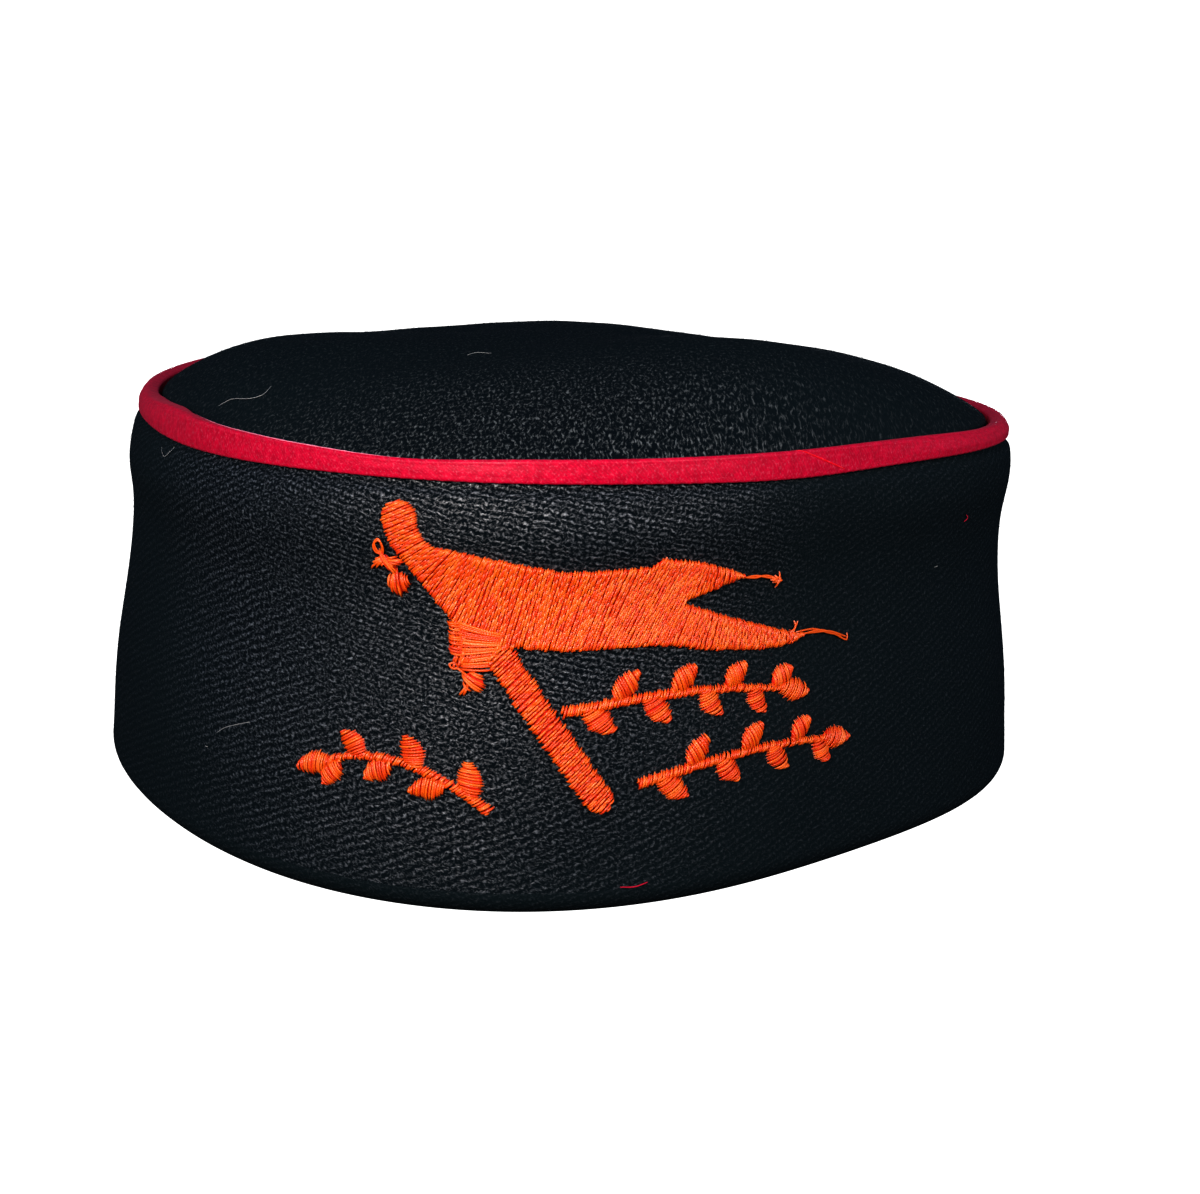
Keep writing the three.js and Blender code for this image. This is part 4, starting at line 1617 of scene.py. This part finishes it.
@dataclass(frozen=True)
class Padding:
    """The red padding that shows between the stitches of a shape: a thin pillow inside its outline."""

    height: float = 0.72
    mesh: float = 1.1  # distance between its inner points
    room: float = 0.3  # between them and the outline
    steepness: float = 0.7
    foot: float = -0.15  # lift of its outline
    under: float = -0.3  # lift of its underside

    def add(self, skin: Skin, outline: Array) -> None:
        """Adds one outline's pillow.

        Args:
            skin: the mesh that takes it.
            outline: the closed outline, one row for each corner.
        """
        low, high = outline.min(0), outline.max(0)
        rows = np.arange(low[1], high[1], self.mesh)
        cols = np.arange(low[0], high[0], self.mesh)
        grid = np.stack(np.meshgrid(cols, rows), -1).reshape(-1, 2)
        spans = {y: spans_inside([outline], np.array([0.0, y]), np.array([1.0, 0.0])) for y in rows}
        kept = [p for p in grid if any(a + self.room < p[0] < b - self.room for a, b in spans[p[1]])]
        corners = [Vector(p) for p in outline]
        made = delaunay_2d_cdt(corners + [Vector(p) for p in kept], [], [list(range(len(corners)))], 1, 1e-5)
        flat, faces = np.array([tuple(p) for p in made[0]]), np.array([list(f) for f in made[2]])
        after = np.roll(outline, -1, 0)
        span = after - outline
        share = ((flat[:, None] - outline) * span).sum(-1) / (span**2).sum(-1)
        nearest = outline + np.clip(share, 0, 1)[..., None] * span
        inset = np.linalg.norm(flat[:, None] - nearest, axis=-1).min(1)
        edge = inset < 1e-4
        faces = faces[~edge[faces].all(1)]
        if not len(faces):
            return
        lift = np.minimum(inset * self.steepness, self.height) + self.foot
        top = FORM.on_band(flat[:, 0], flat[:, 1], lift)
        under = FORM.on_band(flat[:, 0], flat[:, 1], np.where(edge, self.foot, self.under))
        number = np.arange(len(flat))
        below = np.where(edge, number, number + len(flat))
        both = np.vstack([faces, below[faces[:, ::-1]]])
        skin.add(np.vstack([top, under]), both, np.vstack([flat[faces]] * 2))


@dataclass
class Figure:
    """One embroidered figure: its fills and loose threads, sewn over its padding."""

    name: str
    fills: list[Fill | Fan] = field(default_factory=list)
    strands: list[Array] = field(default_factory=list)  # loose threads, as rows of along, up and lift
    thread: float = 0.21  # radius
    padding: Padding = Padding()
    padded: tuple[Array, ...] = ()

    def build(self) -> Piece:
        """Sews the figure.

        Returns:
            The stitched piece, which stands for the frame's node of the same name.
        """
        rng = np.random.default_rng([SEED, *self.name.encode()])
        skin, stitches = Skin(), Stitches()
        for fill in self.fills:
            fill.sew(stitches, rng)
        stitches.sew(skin, self.thread, rng)
        for strand in self.strands:
            add_loose_thread(skin, strand, self.thread * 0.95)
        piece = skin.piece(self.name + "_stitches", EMBROIDERY.material())
        settle(piece, "embroidery_thread", self.name)
        pillow = Skin()
        for outline in self.padded:
            self.padding.add(pillow, outline)
        if pillow.faces:
            settle(pillow.piece(self.name + "_padding", PADDING.material()), "embroidery_thread")
        return piece


def add_loose_thread(skin: Skin, rows: Array, radius: float, steps: int = 22) -> None:
    """Adds a smooth thread through places on the band.

    Args:
        skin: the mesh that takes it.
        rows: rows of along, up and lift.
        radius: the thread's radius.
        steps: points along it.
    """
    line = np.vstack([rows[:1], spline(rows, 12)])
    line = by_length(line, np.linspace(0, 1, steps))
    path = FORM.on_band(line[:, 0], line[:, 1], line[:, 2])
    ups = FORM.outward(FORM.angle_at(line[:, 0]))
    radii = radius * (0.7 + 0.3 * np.sin(math.pi * np.linspace(0, 1, steps)) ** 0.5)
    skin.add_strands(path[None], ups[None], radii[None])


@dataclass(frozen=True)
class Pennant:
    """The forked pennant, with its round knob, its tie at the staff and two loose thread tails."""

    knob: Pair = (-23.6, 69.5)
    knob_radius: float = 3.2
    neck: float = -0.32  # angle round the knob at which the top edge starts, in radians
    top_edge: Route = ((-18.3, 65.4), (-13.3, 64.4), (-0.2, 62.1), (5, 61.5), (18.8, 61.9))
    spike: Pair = (20.8, 63.2)
    upper_bow: Pair = (31, 62.2)
    upper_tip: Pair = (38.8, 58.6)
    fork: Pair = (25.6, 55)
    lower_bow: Pair = (38, 50.2)
    lower_tip: Pair = (54.5, 46.2)
    bottom_edge: Route = ((48, 44.6), (34, 45.6), (19.6, 47.7), (3.5, 47.6), (-4.1, 48.1))
    foot: Route = ((-10.2, 45.4), (-14.2, 44.4), (-15, 52.5))
    hoist: Route = ((-20.4, 58.8), (-25.1, 64.6), (-26.4, 68))
    tie: tuple[Fan, ...] = (
        Fan(((-15.4, 52.8), (-14.6, 46.6)), ((-4.6, 50.2), (-5.3, 47.9)), 14),
        Fan(((-14.3, 45.6), (-13.3, 44.3)), ((-5.4, 47.4), (-7.6, 44.4)), 7, peak=1.0),
        Fan(((-15.5, 52.4), (-15.1, 47.0)), ((-12.9, 52.1), (-12.2, 46.7)), 10, peak=1.35),
    )
    body_guides: Line = (
        *((-26.2, 72.3, 24), (-22.8, 66.3, 28), (-19.8, 61.6, 40), (-16, 58.4, 58), (-9, 56.5, 71)),
        *((0, 55, 77), (9, 54.6, 71), (17, 54.8, 64), (25.5, 55, 65)),
    )
    upper_guides: Line = ((27.1, 58.3, 65), (31, 59.4, 78), (38.8, 58.6, 88))
    lower_guides: Line = ((24.1, 51.9, 65), (31, 50, 74), (41, 47.8, 80), (54.5, 46, 84))
    loose: tuple[Line, ...] = (  # rows of along, up and lift
        ((37.5, 58.6, 0.5), (40.5, 58.1, 0.5), (43.5, 58.2, 0.3), (46.4, 57.4, 0.4)),
        ((37.9, 58.3, 0.4), (41.1, 58.4, 0.3), (44.0, 57.8, 0.5), (46.1, 57.3, 0.4)),
        ((20.3, 61.6, 0.7), (20.9, 62.6, 0.8), (21.5, 63.5, 0.3)),
        ((20.9, 61.7, 0.7), (21.6, 62.7, 0.7), (22.7, 62.5, 0.3)),
        ((50.2, 47.0, 0.7), (51.5, 47.8, 0.6), (52.4, 48.8, 0.3)),
        ((50.9, 47.0, 0.7), (51.6, 48.1, 0.6), (51.4, 49.0, 0.3)),
        ((51.8, 46.9, 0.6), (56.4, 46.9, 0.5), (60.8, 45.6, 0.5), (65.4, 44.4, 0.4)),
        ((52.0, 46.5, 0.6), (57.0, 46.2, 0.5), (61.0, 45.9, 0.6), (65.9, 44.2, 0.5)),
        ((52.0, 46.1, 0.5), (58, 46.5, 0.6), (62.4, 45.2, 0.4), (65.9, 43.6, 0.5), (66.2, 44.9, 0.3)),
    )
    tuft: Pair = (46.3, 57.2)  # the frayed end of the upper tail
    tuft_threads: int = 11
    tuft_start: float = 20.0  # degrees
    tuft_lengths: Pair = (1.0, 1.5)  # of every other thread

    def outline(self) -> Array:
        """Draws the pennant's outline.

        Returns:
            The closed outline, one row for each corner.
        """
        neck = np.array(self.knob) + self.knob_radius * heading(math.degrees(self.neck))
        top = spline(np.vstack([neck, self.top_edge]))
        upper = bowed(self.spike, self.upper_bow, self.upper_tip)
        lower = bowed(self.fork, self.lower_bow, self.lower_tip)
        bottom = spline(np.vstack([self.lower_tip, self.bottom_edge]))
        return np.vstack([neck, top, upper, lower, bottom, self.foot, self.hoist])

    def frayed(self) -> list[Array]:
        """Spreads the frayed end's threads round it.

        Returns:
            The threads, as rows of along, up and lift.
        """
        tuft, threads = np.array(self.tuft), []
        for number in range(self.tuft_threads):
            way = heading(self.tuft_start + number * GOLDEN_ANGLE) * self.tuft_lengths[number % 2]
            threads.append(np.array([[*tuft, 0.5], [*(tuft + way * 0.5), 0.8], [*(tuft + way), 0.2]]))
        return threads

    def build(self) -> Piece:
        """Sews the pennant.

        Returns:
            The stitched piece.
        """
        knob = disc(self.knob, self.knob_radius)
        body = self.outline()
        both = (knob, body)
        fills = [
            Fill(both, self.body_guides, Lay.TATAMI),
            Fill(both, self.upper_guides, Lay.TATAMI, length=2.6, spacing=0.42),
            Fill(both, self.lower_guides, Lay.TATAMI, length=2.1),
            *self.tie,
        ]
        strands = [*map(np.array, self.loose), *self.frayed()]
        return Figure("pennant", fills=fills, strands=strands, padded=(body, knob)).build()


@dataclass(frozen=True)
class Staff:
    """The staff: short stitches across a slanting bar with a round foot, its head sewn over the tie."""

    top: Pair = (-7.1, 47.5)
    foot: Pair = (10.7, 21.5)
    width: float = 4.8
    slant: float = 46.0
    thread: float = 0.2
    spacing: float = 0.46
    stitch: float = 1.6

    def build(self) -> Piece:
        """Sews the staff.

        Returns:
            The stitched piece.
        """
        (top, foot), half = np.array((self.top, self.foot)), self.width / 2
        way = unit(foot - top)
        side, turn = left_of(way), turn_of(way)
        end = disc(foot, half, turn - 90, turn + 90, 12)
        outline = np.vstack([top + side * half, top - side * half, end])
        first, last = top - way * 0.5, foot + way * (half + 0.3)
        guides = ((*first, self.slant), (*last, self.slant))
        lay = (Lay.TATAMI, self.spacing, self.stitch)
        fill = Fill((outline,), guides, *lay, peak=1.1, ragged=0.5, stray=0.09)
        return Figure("staff", fills=[fill], thread=self.thread, padded=(outline,)).build()


@dataclass(frozen=True)
class Petal:
    """A small pointed bundle of threads: where it starts and ends, and its width."""

    base: Pair
    tip: Pair
    width: float

    def outline(self) -> Array:
        """Draws the bundle's outline."""
        return leaf_outline(*np.array((self.base, self.tip)), self.width, 0.5)

    def fill(self) -> Fill:
        """Fills the bundle with threads that lie nearly lengthwise.

        Returns:
            The fill.
        """
        base, tip = np.array((self.base, self.tip))
        turn = turn_of(tip - base)
        side = heading(turn + 90) * self.width * 0.55
        middle = mix(base, tip, 0.5)
        guides = ((*(middle - side), turn - 14), (*(middle + side), turn + 16))
        return Fill((self.outline(),), guides, spacing=0.4, stray=0.12, peak=0.95, ragged=0.5)


@dataclass(frozen=True)
class Tassel:
    """A small tassel: bundles of threads that hang from a loop."""

    name: str
    petals: tuple[Petal, ...]
    loops: tuple[Route, ...]

    def build(self) -> Piece:
        """Sews the tassel.

        Returns:
            The stitched piece.
        """
        threads = []
        for loop in self.loops:
            lift = 0.25 + 0.4 * np.sin(np.linspace(0, math.pi, len(loop)))
            threads.append(np.column_stack([loop, lift]))
        fills = [petal.fill() for petal in self.petals]
        padded = tuple(petal.outline() for petal in self.petals)
        return Figure(self.name, fills=fills, strands=threads, padded=padded).build()


@dataclass(frozen=True)
class Sprig:
    """A leafy sprig: a bowed stem with pointed leaves on alternate sides and one at its tip."""

    name: str
    root: Pair
    bow: Pair
    tip: Pair
    leaves: int
    stem: float = 1.9
    stem_at_tip: float = 0.6
    leaf: float = 7.6
    leaf_at_tip: float = 0.8
    leaf_width: float = 4.2
    widest: float = 0.45
    slant: float = 43.0
    overlap: float = 0.1
    steps: int = 60

    def leaf_fill(self, base: Array, tip: Array) -> Fill:
        """Fills a leaf with stitches that slant across its vein.

        Args:
            base: where the leaf starts.
            tip: where it ends.

        Returns:
            The fill.
        """
        turn = turn_of(tip - base)
        first, last = mix(base, tip, 0.02), mix(base, tip, 0.99)
        guides = ((*first, turn + 62), (*last, turn + 74))
        outline = leaf_outline(base, tip, self.leaf_width, self.widest)
        return Fill((outline,), guides, spacing=0.45, peak=0.85, ragged=0.42)

    def build(self) -> Piece:
        """Sews the sprig.

        Returns:
            The stitched piece.
        """
        steps = np.arange(self.steps + 1)
        curve = bowed(self.root, self.bow, self.tip, self.steps)
        curve = by_length(curve, steps / self.steps)
        ways = unit(np.gradient(curve, axis=0))
        sides = left_of(ways)
        half = (self.stem / 2 * mix(1, self.stem_at_tip, steps / self.steps))[:, None]
        stem = np.vstack([curve - sides * half, (curve + sides * half)[::-1]])
        turns = np.degrees(np.unwrap(np.arctan2(ways[:, 1], ways[:, 0])))
        guides = tuple((*point, turn + 66) for point, turn in zip(curve[::6], turns[::6]))
        leaves = []
        for number in range(self.leaves):
            share = (number + 0.6) / self.leaves
            base = looked_up(share * self.steps, steps, curve)
            turn = np.interp(share * self.steps, steps, turns) + (self.slant if number % 2 else -self.slant)
            leaves.append((base, base + heading(turn) * self.leaf * mix(1, self.leaf_at_tip, share)))
        tip = np.array(self.tip)
        end = tip + ways[-1] * self.leaf
        leaves.append((mix(tip, end, -self.overlap), end))
        fills = [Fill((stem,), guides, spacing=0.45, peak=0.75, ragged=0.34)]
        fills += [self.leaf_fill(base, tip) for base, tip in leaves]
        padded = [outline for fill in fills for outline in fill.outlines]
        return Figure(self.name, fills=fills, padded=tuple(padded)).build()


TASSELS = (
    Tassel(
        "upper_tassel",
        petals=(
            Petal((-27.2, 63.7), (-24.0, 59.2), 1.9),
            Petal((-26.0, 62.6), (-29.2, 60.2), 1.5),
            Petal((-26.4, 62.2), (-22.8, 61.9), 1.5),
            Petal((-24.4, 60.4), (-23.9, 55.9), 4.4),
        ),
        loops=(
            ((-26.8, 63.0), (-27.9, 63.4), (-28.2, 64.6), (-27.3, 65.8), (-26.7, 64.6), (-26.9, 63.2)),
            ((-26.6, 63.2), (-27.6, 63.7), (-28.0, 64.9), (-27.1, 65.5), (-26.5, 64.3), (-26.7, 62.9)),
        ),
    ),
    Tassel(
        "lower_tassel",
        petals=(
            Petal((-12.7, 43.5), (-8.8, 40.7), 3.4),
            Petal((-11.6, 41.8), (-12.9, 39.6), 1.0),
        ),
        loops=(
            ((-13.3, 44.2), (-13.9, 45.2), (-14.8, 44.9), (-14.3, 44.2), (-13.2, 44.2)),
            ((-14.0, 44.4), (-13.2, 44.1), (-12.5, 43.6), (-11.8, 42.8)),
        ),
    ),
)
SPRIGS = (
    Sprig("left_sprig", root=(-7.5, 19.5), bow=(-22, 31), tip=(-36.5, 25.5), leaves=6),
    Sprig("upper_vine", root=(4, 37), bow=(26, 41), tip=(48, 37), leaves=8),
    Sprig("lower_vine", root=(17.5, 23.6), bow=(38, 28.4), tip=(59, 26), leaves=7),
)


# Nap and lint


@dataclass(frozen=True)
class Nap:
    """The fine fibres that stand off brushed wool, which soften its outline and sparkle where it is dark."""

    band_fibres: int = 5200
    crown_fibres: int = 3000
    radius: float = 0.022
    steps: int = 4
    bare_back: float = 26.0  # along the rim, from the middle of the back
    roots: Pair = (3.0, 74.5)  # the lowest and the highest root on the band
    reach: Pair = (2.0, 75.2)  # how low and how high a fibre runs there
    crown_size: float = 90.0  # the tip's half width, for turning millimetres to angles

    def shapes(self, rng: np.random.Generator, count: int) -> tuple[Array, Array]:
        """Draws fibres lying on flat cloth.

        Args:
            rng: the source of their differences.
            count: how many.

        Returns:
            For each fibre, its steps away from its root, and their lift over the cloth.
        """
        share = np.linspace(0, 1, self.steps)
        length = rng.uniform(0.7, 2.2, count)[:, None]
        turn = rng.normal(0, 0.7, count)[:, None] + rng.normal(0, 0.9, count)[:, None] * share
        way = np.stack([np.cos(turn), np.sin(turn)], -1) * rng.choice([-1, 1], count)[:, None, None]
        steps = np.cumsum(way * (length / self.steps)[..., None], 1)
        lift = -0.08 + rng.uniform(0.1, 0.5, count)[:, None] * np.sqrt(share)
        return steps, lift

    def build_band(self) -> Piece:
        """Raises the band's nap.

        Returns:
            The piece.
        """
        rng = np.random.default_rng(SEED)
        edge = FORM.rim_table[1][-1] - self.bare_back
        along = rng.uniform(-edge, edge, self.band_fibres)[:, None]
        up = rng.uniform(*self.roots, self.band_fibres)[:, None]
        steps, lift = self.shapes(rng, self.band_fibres)
        along = along + steps[..., 0]
        paths = FORM.on_band(along, np.clip(up + steps[..., 1], *self.reach), lift)
        return self.piece("band_nap", paths, FORM.outward(FORM.angle_at(along)))

    def build_crown(self) -> Piece:
        """Raises the crown's nap.

        Returns:
            The piece.
        """
        rng = np.random.default_rng(SEED + 1)
        angle = rng.uniform(0, 2 * math.pi, self.crown_fibres)[:, None]
        share = np.sqrt(rng.uniform(0, 0.94, self.crown_fibres))[:, None]
        steps, lift = self.shapes(rng, self.crown_fibres)
        angle = angle + steps[..., 0] / np.maximum(share * self.crown_size, 8)
        share = np.clip(share + steps[..., 1] / 95, 0.01, 0.985)
        paths = CROWN.tip(angle, share, -lift)
        return self.piece("crown_nap", paths, np.broadcast_to(UPWARDS, paths.shape))

    def piece(self, name: str, paths: Array, ups: Array) -> Piece:
        """Makes fibres along paths into a piece; ups point away from the cloth."""
        taper = np.broadcast_to(self.radius * np.linspace(1.1, 0.5, self.steps), paths.shape[:2])
        return lay_strands(name, NAP_FIBRE, "wool_cloth", paths, ups, taper, sides=3, flatness=1.0)


@dataclass(frozen=True)
class Lint:
    """Stray hairs and specks that lie on the cloth."""

    hair_radius: float = 0.06
    red_radius: float = 0.13
    crown_hairs: tuple[Line, ...] = (  # rows of degrees, share and lift
        (
            (216.6, 0.952, 0.2), (217.4, 0.924, 0.35), (220.6, 0.902, 0.3),
            (221.8, 0.876, 0.35), (220.6, 0.846, 0.5),
        ),
        ((238.5, 0.394, 0.15), (239.3, 0.361, 0.2), (244.8, 0.352, 0.15)),
    )
    band_hairs: tuple[Line, ...] = (  # rows of along, up and lift
        (
            (-96.1, 73.5, 0.15), (-94.6, 72.7, 0.3), (-92.4, 72.2, 0.35),
            (-90.2, 73.3, 0.4), (-88.4, 74.5, 0.3),
        ),
        ((-65.2, 24.4, 0.1), (-62.6, 26.0, 0.3), (-59.1, 27.4, 0.35), (-55.8, 28.5, 0.1)),
        ((-68.4, 21.0, 0.1), (-68.1, 21.2, 0.45), (-67.8, 21.1, 0.1)),
        ((95.2, 54.0, 0.1), (95.6, 54.2, 0.5), (96.0, 54.0, 0.1)),
    )
    red_threads: tuple[Line, ...] = (
        ((104.8, 62.2, 0.1), (105.5, 62.9, 0.35), (105.0, 63.6, 0.1)),
        ((15, 5.2, 0.05), (17.5, 5.0, 0.15), (20, 5.5, 0.05)),
    )

    def build(self) -> None:
        """Lays the hairs on the crown and the band, and the threads on the band."""
        pale = Skin()
        for rows in self.crown_hairs:
            line = np.vstack([rows[:1], spline(np.array(rows), 10)])
            path = CROWN.tip(np.radians(line[:, 0]), line[:, 1], -line[:, 2])
            ups = np.broadcast_to(UPWARDS, path.shape)
            radii = self.hair_radius * (0.45 + 0.55 * np.sin(math.pi * np.linspace(0, 1, len(path))))
            pale.add_strands(path[None], ups[None], radii[None], sides=5, flatness=1.0)
        settle(pale.piece("crown_lint", PALE_HAIR.material()), "wool_cloth")
        for name, lines, radius, finish, slot in (
            ("band_lint", self.band_hairs, self.hair_radius, PALE_HAIR, "wool_cloth"),
            ("band_red_threads", self.red_threads, self.red_radius, SEWING_THREAD, "satin_binding"),
        ):
            skin = Skin()
            for rows in lines:
                add_loose_thread(skin, np.array(rows), radius)
            settle(skin.piece(name, finish.material()), slot)


# Studio


WARM, COOL, PALE = "#FFF4EC", "#C4DCFF", "#EAF2FF"


@dataclass(frozen=True)
class SoftLight:
    """A soft square lamp that faces the cap: where it stands, how wide, how strong and what colour it is."""

    name: str
    azimuth: float  # degrees round from the camera, to the right
    elevation: float
    distance: float  # metres
    size: float
    power: float
    colour: str
    aim: tuple[float, float, float] = (0.0, -0.03, 0.05)

    def build(self) -> Piece:
        """Hangs the lamp.

        Returns:
            The lamp.
        """
        turn, rise = math.radians(self.azimuth) + FRONT, math.radians(self.elevation)
        way = Vector((math.cos(turn) * math.cos(rise), math.sin(turn) * math.cos(rise), math.sin(rise)))
        lamp = bpy.data.lights.new(self.name, "AREA")
        lamp.shape, lamp.size = "SQUARE", self.size
        lamp.energy, lamp.color = self.power, linear(self.colour)[:3]
        made = put(self.name, lamp)
        made.location = Vector(self.aim) + way * self.distance
        made.rotation_euler = way.to_track_quat("Z", "Y").to_euler()
        made.visible_camera = False
        return made


@dataclass(frozen=True)
class Studio:
    """A pale floor under soft lamps, and a camera where the photograph was taken."""

    target: tuple[float, float, float] = (7.839, 1.32, 34.133)  # millimetres, as the camera's distance
    distance: float = 421.668
    elevation: float = 11.864
    roll: float = 1.78
    lens: float = 56.98
    sensor: float = 36.0
    floor_radius: float = 6.0
    white: float = 1.02  # brightness of the floor and the surround to the camera
    ambient: float = 0.44  # brightness of the surround in front, as the cap sees it
    ambient_behind: float = 0.15  # as a share of that
    lamps: tuple[SoftLight, ...] = (
        SoftLight("key", -11, 20, 0.47, 0.12, 1.17, WARM),
        SoftLight("key_left", -46, 19, 0.6, 0.2, 0.5, WARM),
        SoftLight("key_right", 55, 19, 0.6, 0.2, 0.87, WARM),
        SoftLight("left_fill", -100, 20, 1.0, 0.7, 0.28, COOL),
        SoftLight("right_fill", 100, 20, 1.0, 0.7, 0.2, COOL),
        SoftLight("top_back", 178, 75, 1.1, 0.8, 0.16, COOL),
        SoftLight("back_left", -163, -1, 0.8, 0.1, 0.8, PALE),
        SoftLight("back_right", 163, -1, 0.8, 0.1, 0.8, PALE),
    )

    def build_camera(self) -> None:
        """Stands the camera at the photograph's place, with its roll."""
        rise, roll = math.radians(self.elevation), math.radians(self.roll)
        target = Vector(self.target) * MM
        place = target + Vector((0, -math.cos(rise), math.sin(rise))) * self.distance * MM
        away = (place - target).normalized()
        right = Vector((1, 0, 0))
        up = away.cross(right)
        tilted_right = right * math.cos(roll) + up * math.sin(roll)
        tilted_up = up * math.cos(roll) - right * math.sin(roll)
        data = bpy.data.cameras.new("camera")
        data.sensor_fit, data.sensor_width, data.lens = "HORIZONTAL", self.sensor, self.lens
        data.clip_start, data.clip_end = 0.01, 50
        camera = put("camera", data)
        camera.matrix_world = Matrix((tilted_right, tilted_up, away)).transposed().to_4x4()
        camera.location = place
        bpy.context.scene.camera = camera

    def build_floor(self) -> None:
        """Lays the floor, which is white to the camera but throws little light back on the black cloth."""
        mesh = bpy.data.meshes.new("floor")
        rim = disc((0, 0), self.floor_radius, steps=96)
        mesh.from_pydata([(x, y, -0.0001) for x, y in rim], [], [list(range(len(rim)))])
        made, tree = new_material("white_matt_paper")
        seen = add_node(tree, "Emission", {"Color": linear("#FFFFFF"), "Strength": self.white})
        dim = add_node(tree, "BsdfDiffuse", {"Color": linear("#5C5E60")})
        ray = add_node(tree, "LightPath").outputs["Is Camera Ray"]
        both = add_node(tree, "MixShader", {0: ray, 1: dim.outputs[0], 2: seen.outputs[0]})
        add_node(tree, "OutputMaterial", {"Surface": both.outputs[0]})
        mesh.materials.append(made)
        put("floor", mesh)

    def build_world(self) -> None:
        """Sets a white surround that lights the cap only dimly."""
        world = bpy.data.worlds.new("white_surround")
        world.use_nodes = True
        tree = world.node_tree
        tree.nodes.clear()
        white = add_node(tree, "Background", {"Color": linear("#FFFFFF"), "Strength": self.white})
        way = add_node(tree, "SeparateXYZ", {0: add_node(tree, "TexCoord").outputs["Generated"]}).outputs["Y"]
        sockets = {"Value": way, "From Min": 0.6, "From Max": -0.4, "To Min": self.ambient_behind}
        front = add_node(tree, "MapRange", sockets).outputs[0]
        level = add_node(tree, "Math", {0: front, 1: self.ambient}, operation="MULTIPLY").outputs[0]
        dim = add_node(tree, "Background", {"Color": linear("#BCD8FF"), "Strength": level})
        ray = add_node(tree, "LightPath").outputs["Is Camera Ray"]
        both = add_node(tree, "MixShader", {0: ray, 1: dim.outputs[0], 2: white.outputs[0]})
        add_node(tree, "OutputWorld", {"Surface": both.outputs[0]})
        bpy.context.scene.world = world

    def build(self) -> None:
        """Builds the camera, the floor, the surround and the lamps."""
        self.build_camera()
        self.build_floor()
        self.build_world()
        for lamp in self.lamps:
            lamp.build()
        bpy.context.scene.view_settings.view_transform = "Standard"
        bpy.context.scene.view_settings.look = "High Contrast"  # the photograph's own contrast
        LOG.info("studio: %d lamps", len(self.lamps))


def main() -> None:
    """Builds the studio and the cap, piece by piece."""
    logging.basicConfig(level=logging.INFO, format="%(name)s: %(message)s")
    Studio().build()
    BAND.build()
    CROWN.build_wall()
    CROWN.build_tip()
    BINDING.build()
    Pennant().build()
    Staff().build()
    for tassel in TASSELS:
        tassel.build()
    for sprig in SPRIGS:
        sprig.build()
    nap = Nap()
    nap.build_band()
    nap.build_crown()
    Lint().build()


if __name__ == "__main__":
    main()
